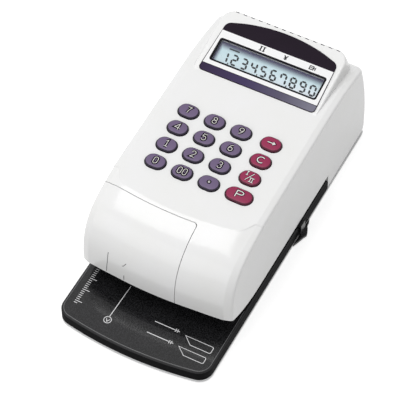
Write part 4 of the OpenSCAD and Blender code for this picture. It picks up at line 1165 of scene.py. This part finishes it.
def makeCoverMarks():
    # guide marks printed on the cover's front
    tree = BVHTree.FromObject(cover, bpy.context.evaluated_depsgraph_get())

    def onCover(x, z, w):
        spot, normal, _, _ = tree.ray_cast(Vector((x, -130, z)) * mm, Vector((0, 1, 0)))
        return tuple(v / mm for v in spot + normal * w * mm)
    solids = [stroke(divide(line, 1.5), coverMarks["width"], -0.1, 0.03, onCover) for line in coverMarks["lines"]]
    made = assemble("coverMarks", solids, ["markGrey"], "cover")


stopRibs = {"x": 54.9, "z": 2.8, "half": 0.275, "high": 0.3, "back": 0.3, "deep": 0.4, "corner": 0.25,
            "ends": ((13.0, 1.1), (14.6, 1.7), (16.2, 2.3), (17.8, 2.9), (19.4, 3.3))}  # y and reach of each


def makeStopRibs():
    # grip ribs across the thumb tab
    x, z, half = stopRibs["x"], stopRibs["z"], stopRibs["half"]
    solids = [slab(roundedRect(x - stopRibs["back"], y - half, x + reach, y + half, stopRibs["corner"], 3),
                   z - stopRibs["deep"], z + stopRibs["high"], upright) for y, reach in stopRibs["ends"]]
    made = assemble("stopRibs", solids, ["stopBlack"], "stop")


makeCoverMarks()
makeStopRibs()

innerParts = {
    "trayGrey": "base_tray", "headBlack": "head_plate", "matGrey": "key_mat", "boardGreen": "key_board main_board",
    "steelPlain": "board_screws type_shaft anvil stop_rail case_screws", "inkFoam": "ink_roller",
    "zincPlate": "head_frame lift_rod feed_bracket pinch_arm pinch_bracket transformer", "holderGrey": "ink_holder",
    "brassTurned": "type_wheel motor_pinion feed_pinion", "nylonIvory": "wheel_gear feed_gear",
    "motorSteel": "wheel_motor feed_motor", "coilBrown": "lift_solenoid", "rollerRubber": "feed_roller pinch_roller",
    "stopBlack": "paper_stop", "socketBlack": "power_inlet power_switch", "footRubber": "feet",
}
for skin, partNames in innerParts.items():
    for nodeName in partNames.split():
        for place in nodes[nodeName].material_slots:
            place.material = skins[skin]

stage = {
    "world": 0.57, "floorGlow": 0.7, "floorTone": 0.55, "floorHalf": 6,
    "lamps": {"softbox": {"place": (-0.4, -0.08, 1.6), "aim": (-0.4, -0.08, 0), "power": 12.0, "size": (1.0, 1.1)},
              "frontPanel": {"place": (-0.7, -1.9, 1.2), "aim": (0, 0, 0.04), "power": 8.0, "size": (2.0, 1.4)}},
}


def seenRays(tree):
    # 1 for the rays that show the backdrop itself, 0 for those that only light the scene
    rays = addNode(tree, "ShaderNodeLightPath").outputs
    seen = mathNode(tree, "ADD", {0: rays["Is Camera Ray"], 1: rays["Is Glossy Ray"]}, use_clamp=True)
    return mathNode(tree, "ADD", {0: seen, 1: rays["Is Transmission Ray"]}, use_clamp=True)


def makeStage():
    world = bpy.data.worlds.new("studioWorld")
    scene.world = world
    world.use_nodes = True
    tree = world.node_tree
    feed(tree, tree.nodes["Background"], {"Strength": spread(tree, seenRays(tree), stage["world"], 1.0),
                                          "Color": (1, 1, 1, 1)})

    tree, shader = newMaterial("floorWhite")
    glow = mathNode(tree, "MULTIPLY", {0: seenRays(tree), 1: stage["floorGlow"]})
    feed(tree, shader, {"Base Color": (*[stage["floorTone"]] * 3, 1), "Roughness": 0.9, "Specular IOR Level": 0.0,
                        "Emission Strength": glow, "Emission Color": (1, 1, 1, 1)})
    mesh = bpy.data.meshes.new("deskFloor")
    r = stage["floorHalf"]
    mesh.from_pydata([(-r, -r, 0), (r, -r, 0), (r, r, 0), (-r, r, 0)], [], [(0, 1, 2, 3)])
    mesh.materials.append(skins["floorWhite"])
    floor = addObject("deskFloor", mesh)

    for name, spot in stage["lamps"].items():
        lamp = bpy.data.lights.new(name, "AREA")
        lamp.shape = "RECTANGLE"
        lamp.energy = spot["power"]
        lamp.size, lamp.size_y = spot["size"]
        aimAt(addObject(name, lamp), spot["place"], spot["aim"])


print("lighting the stage")
makeStage()
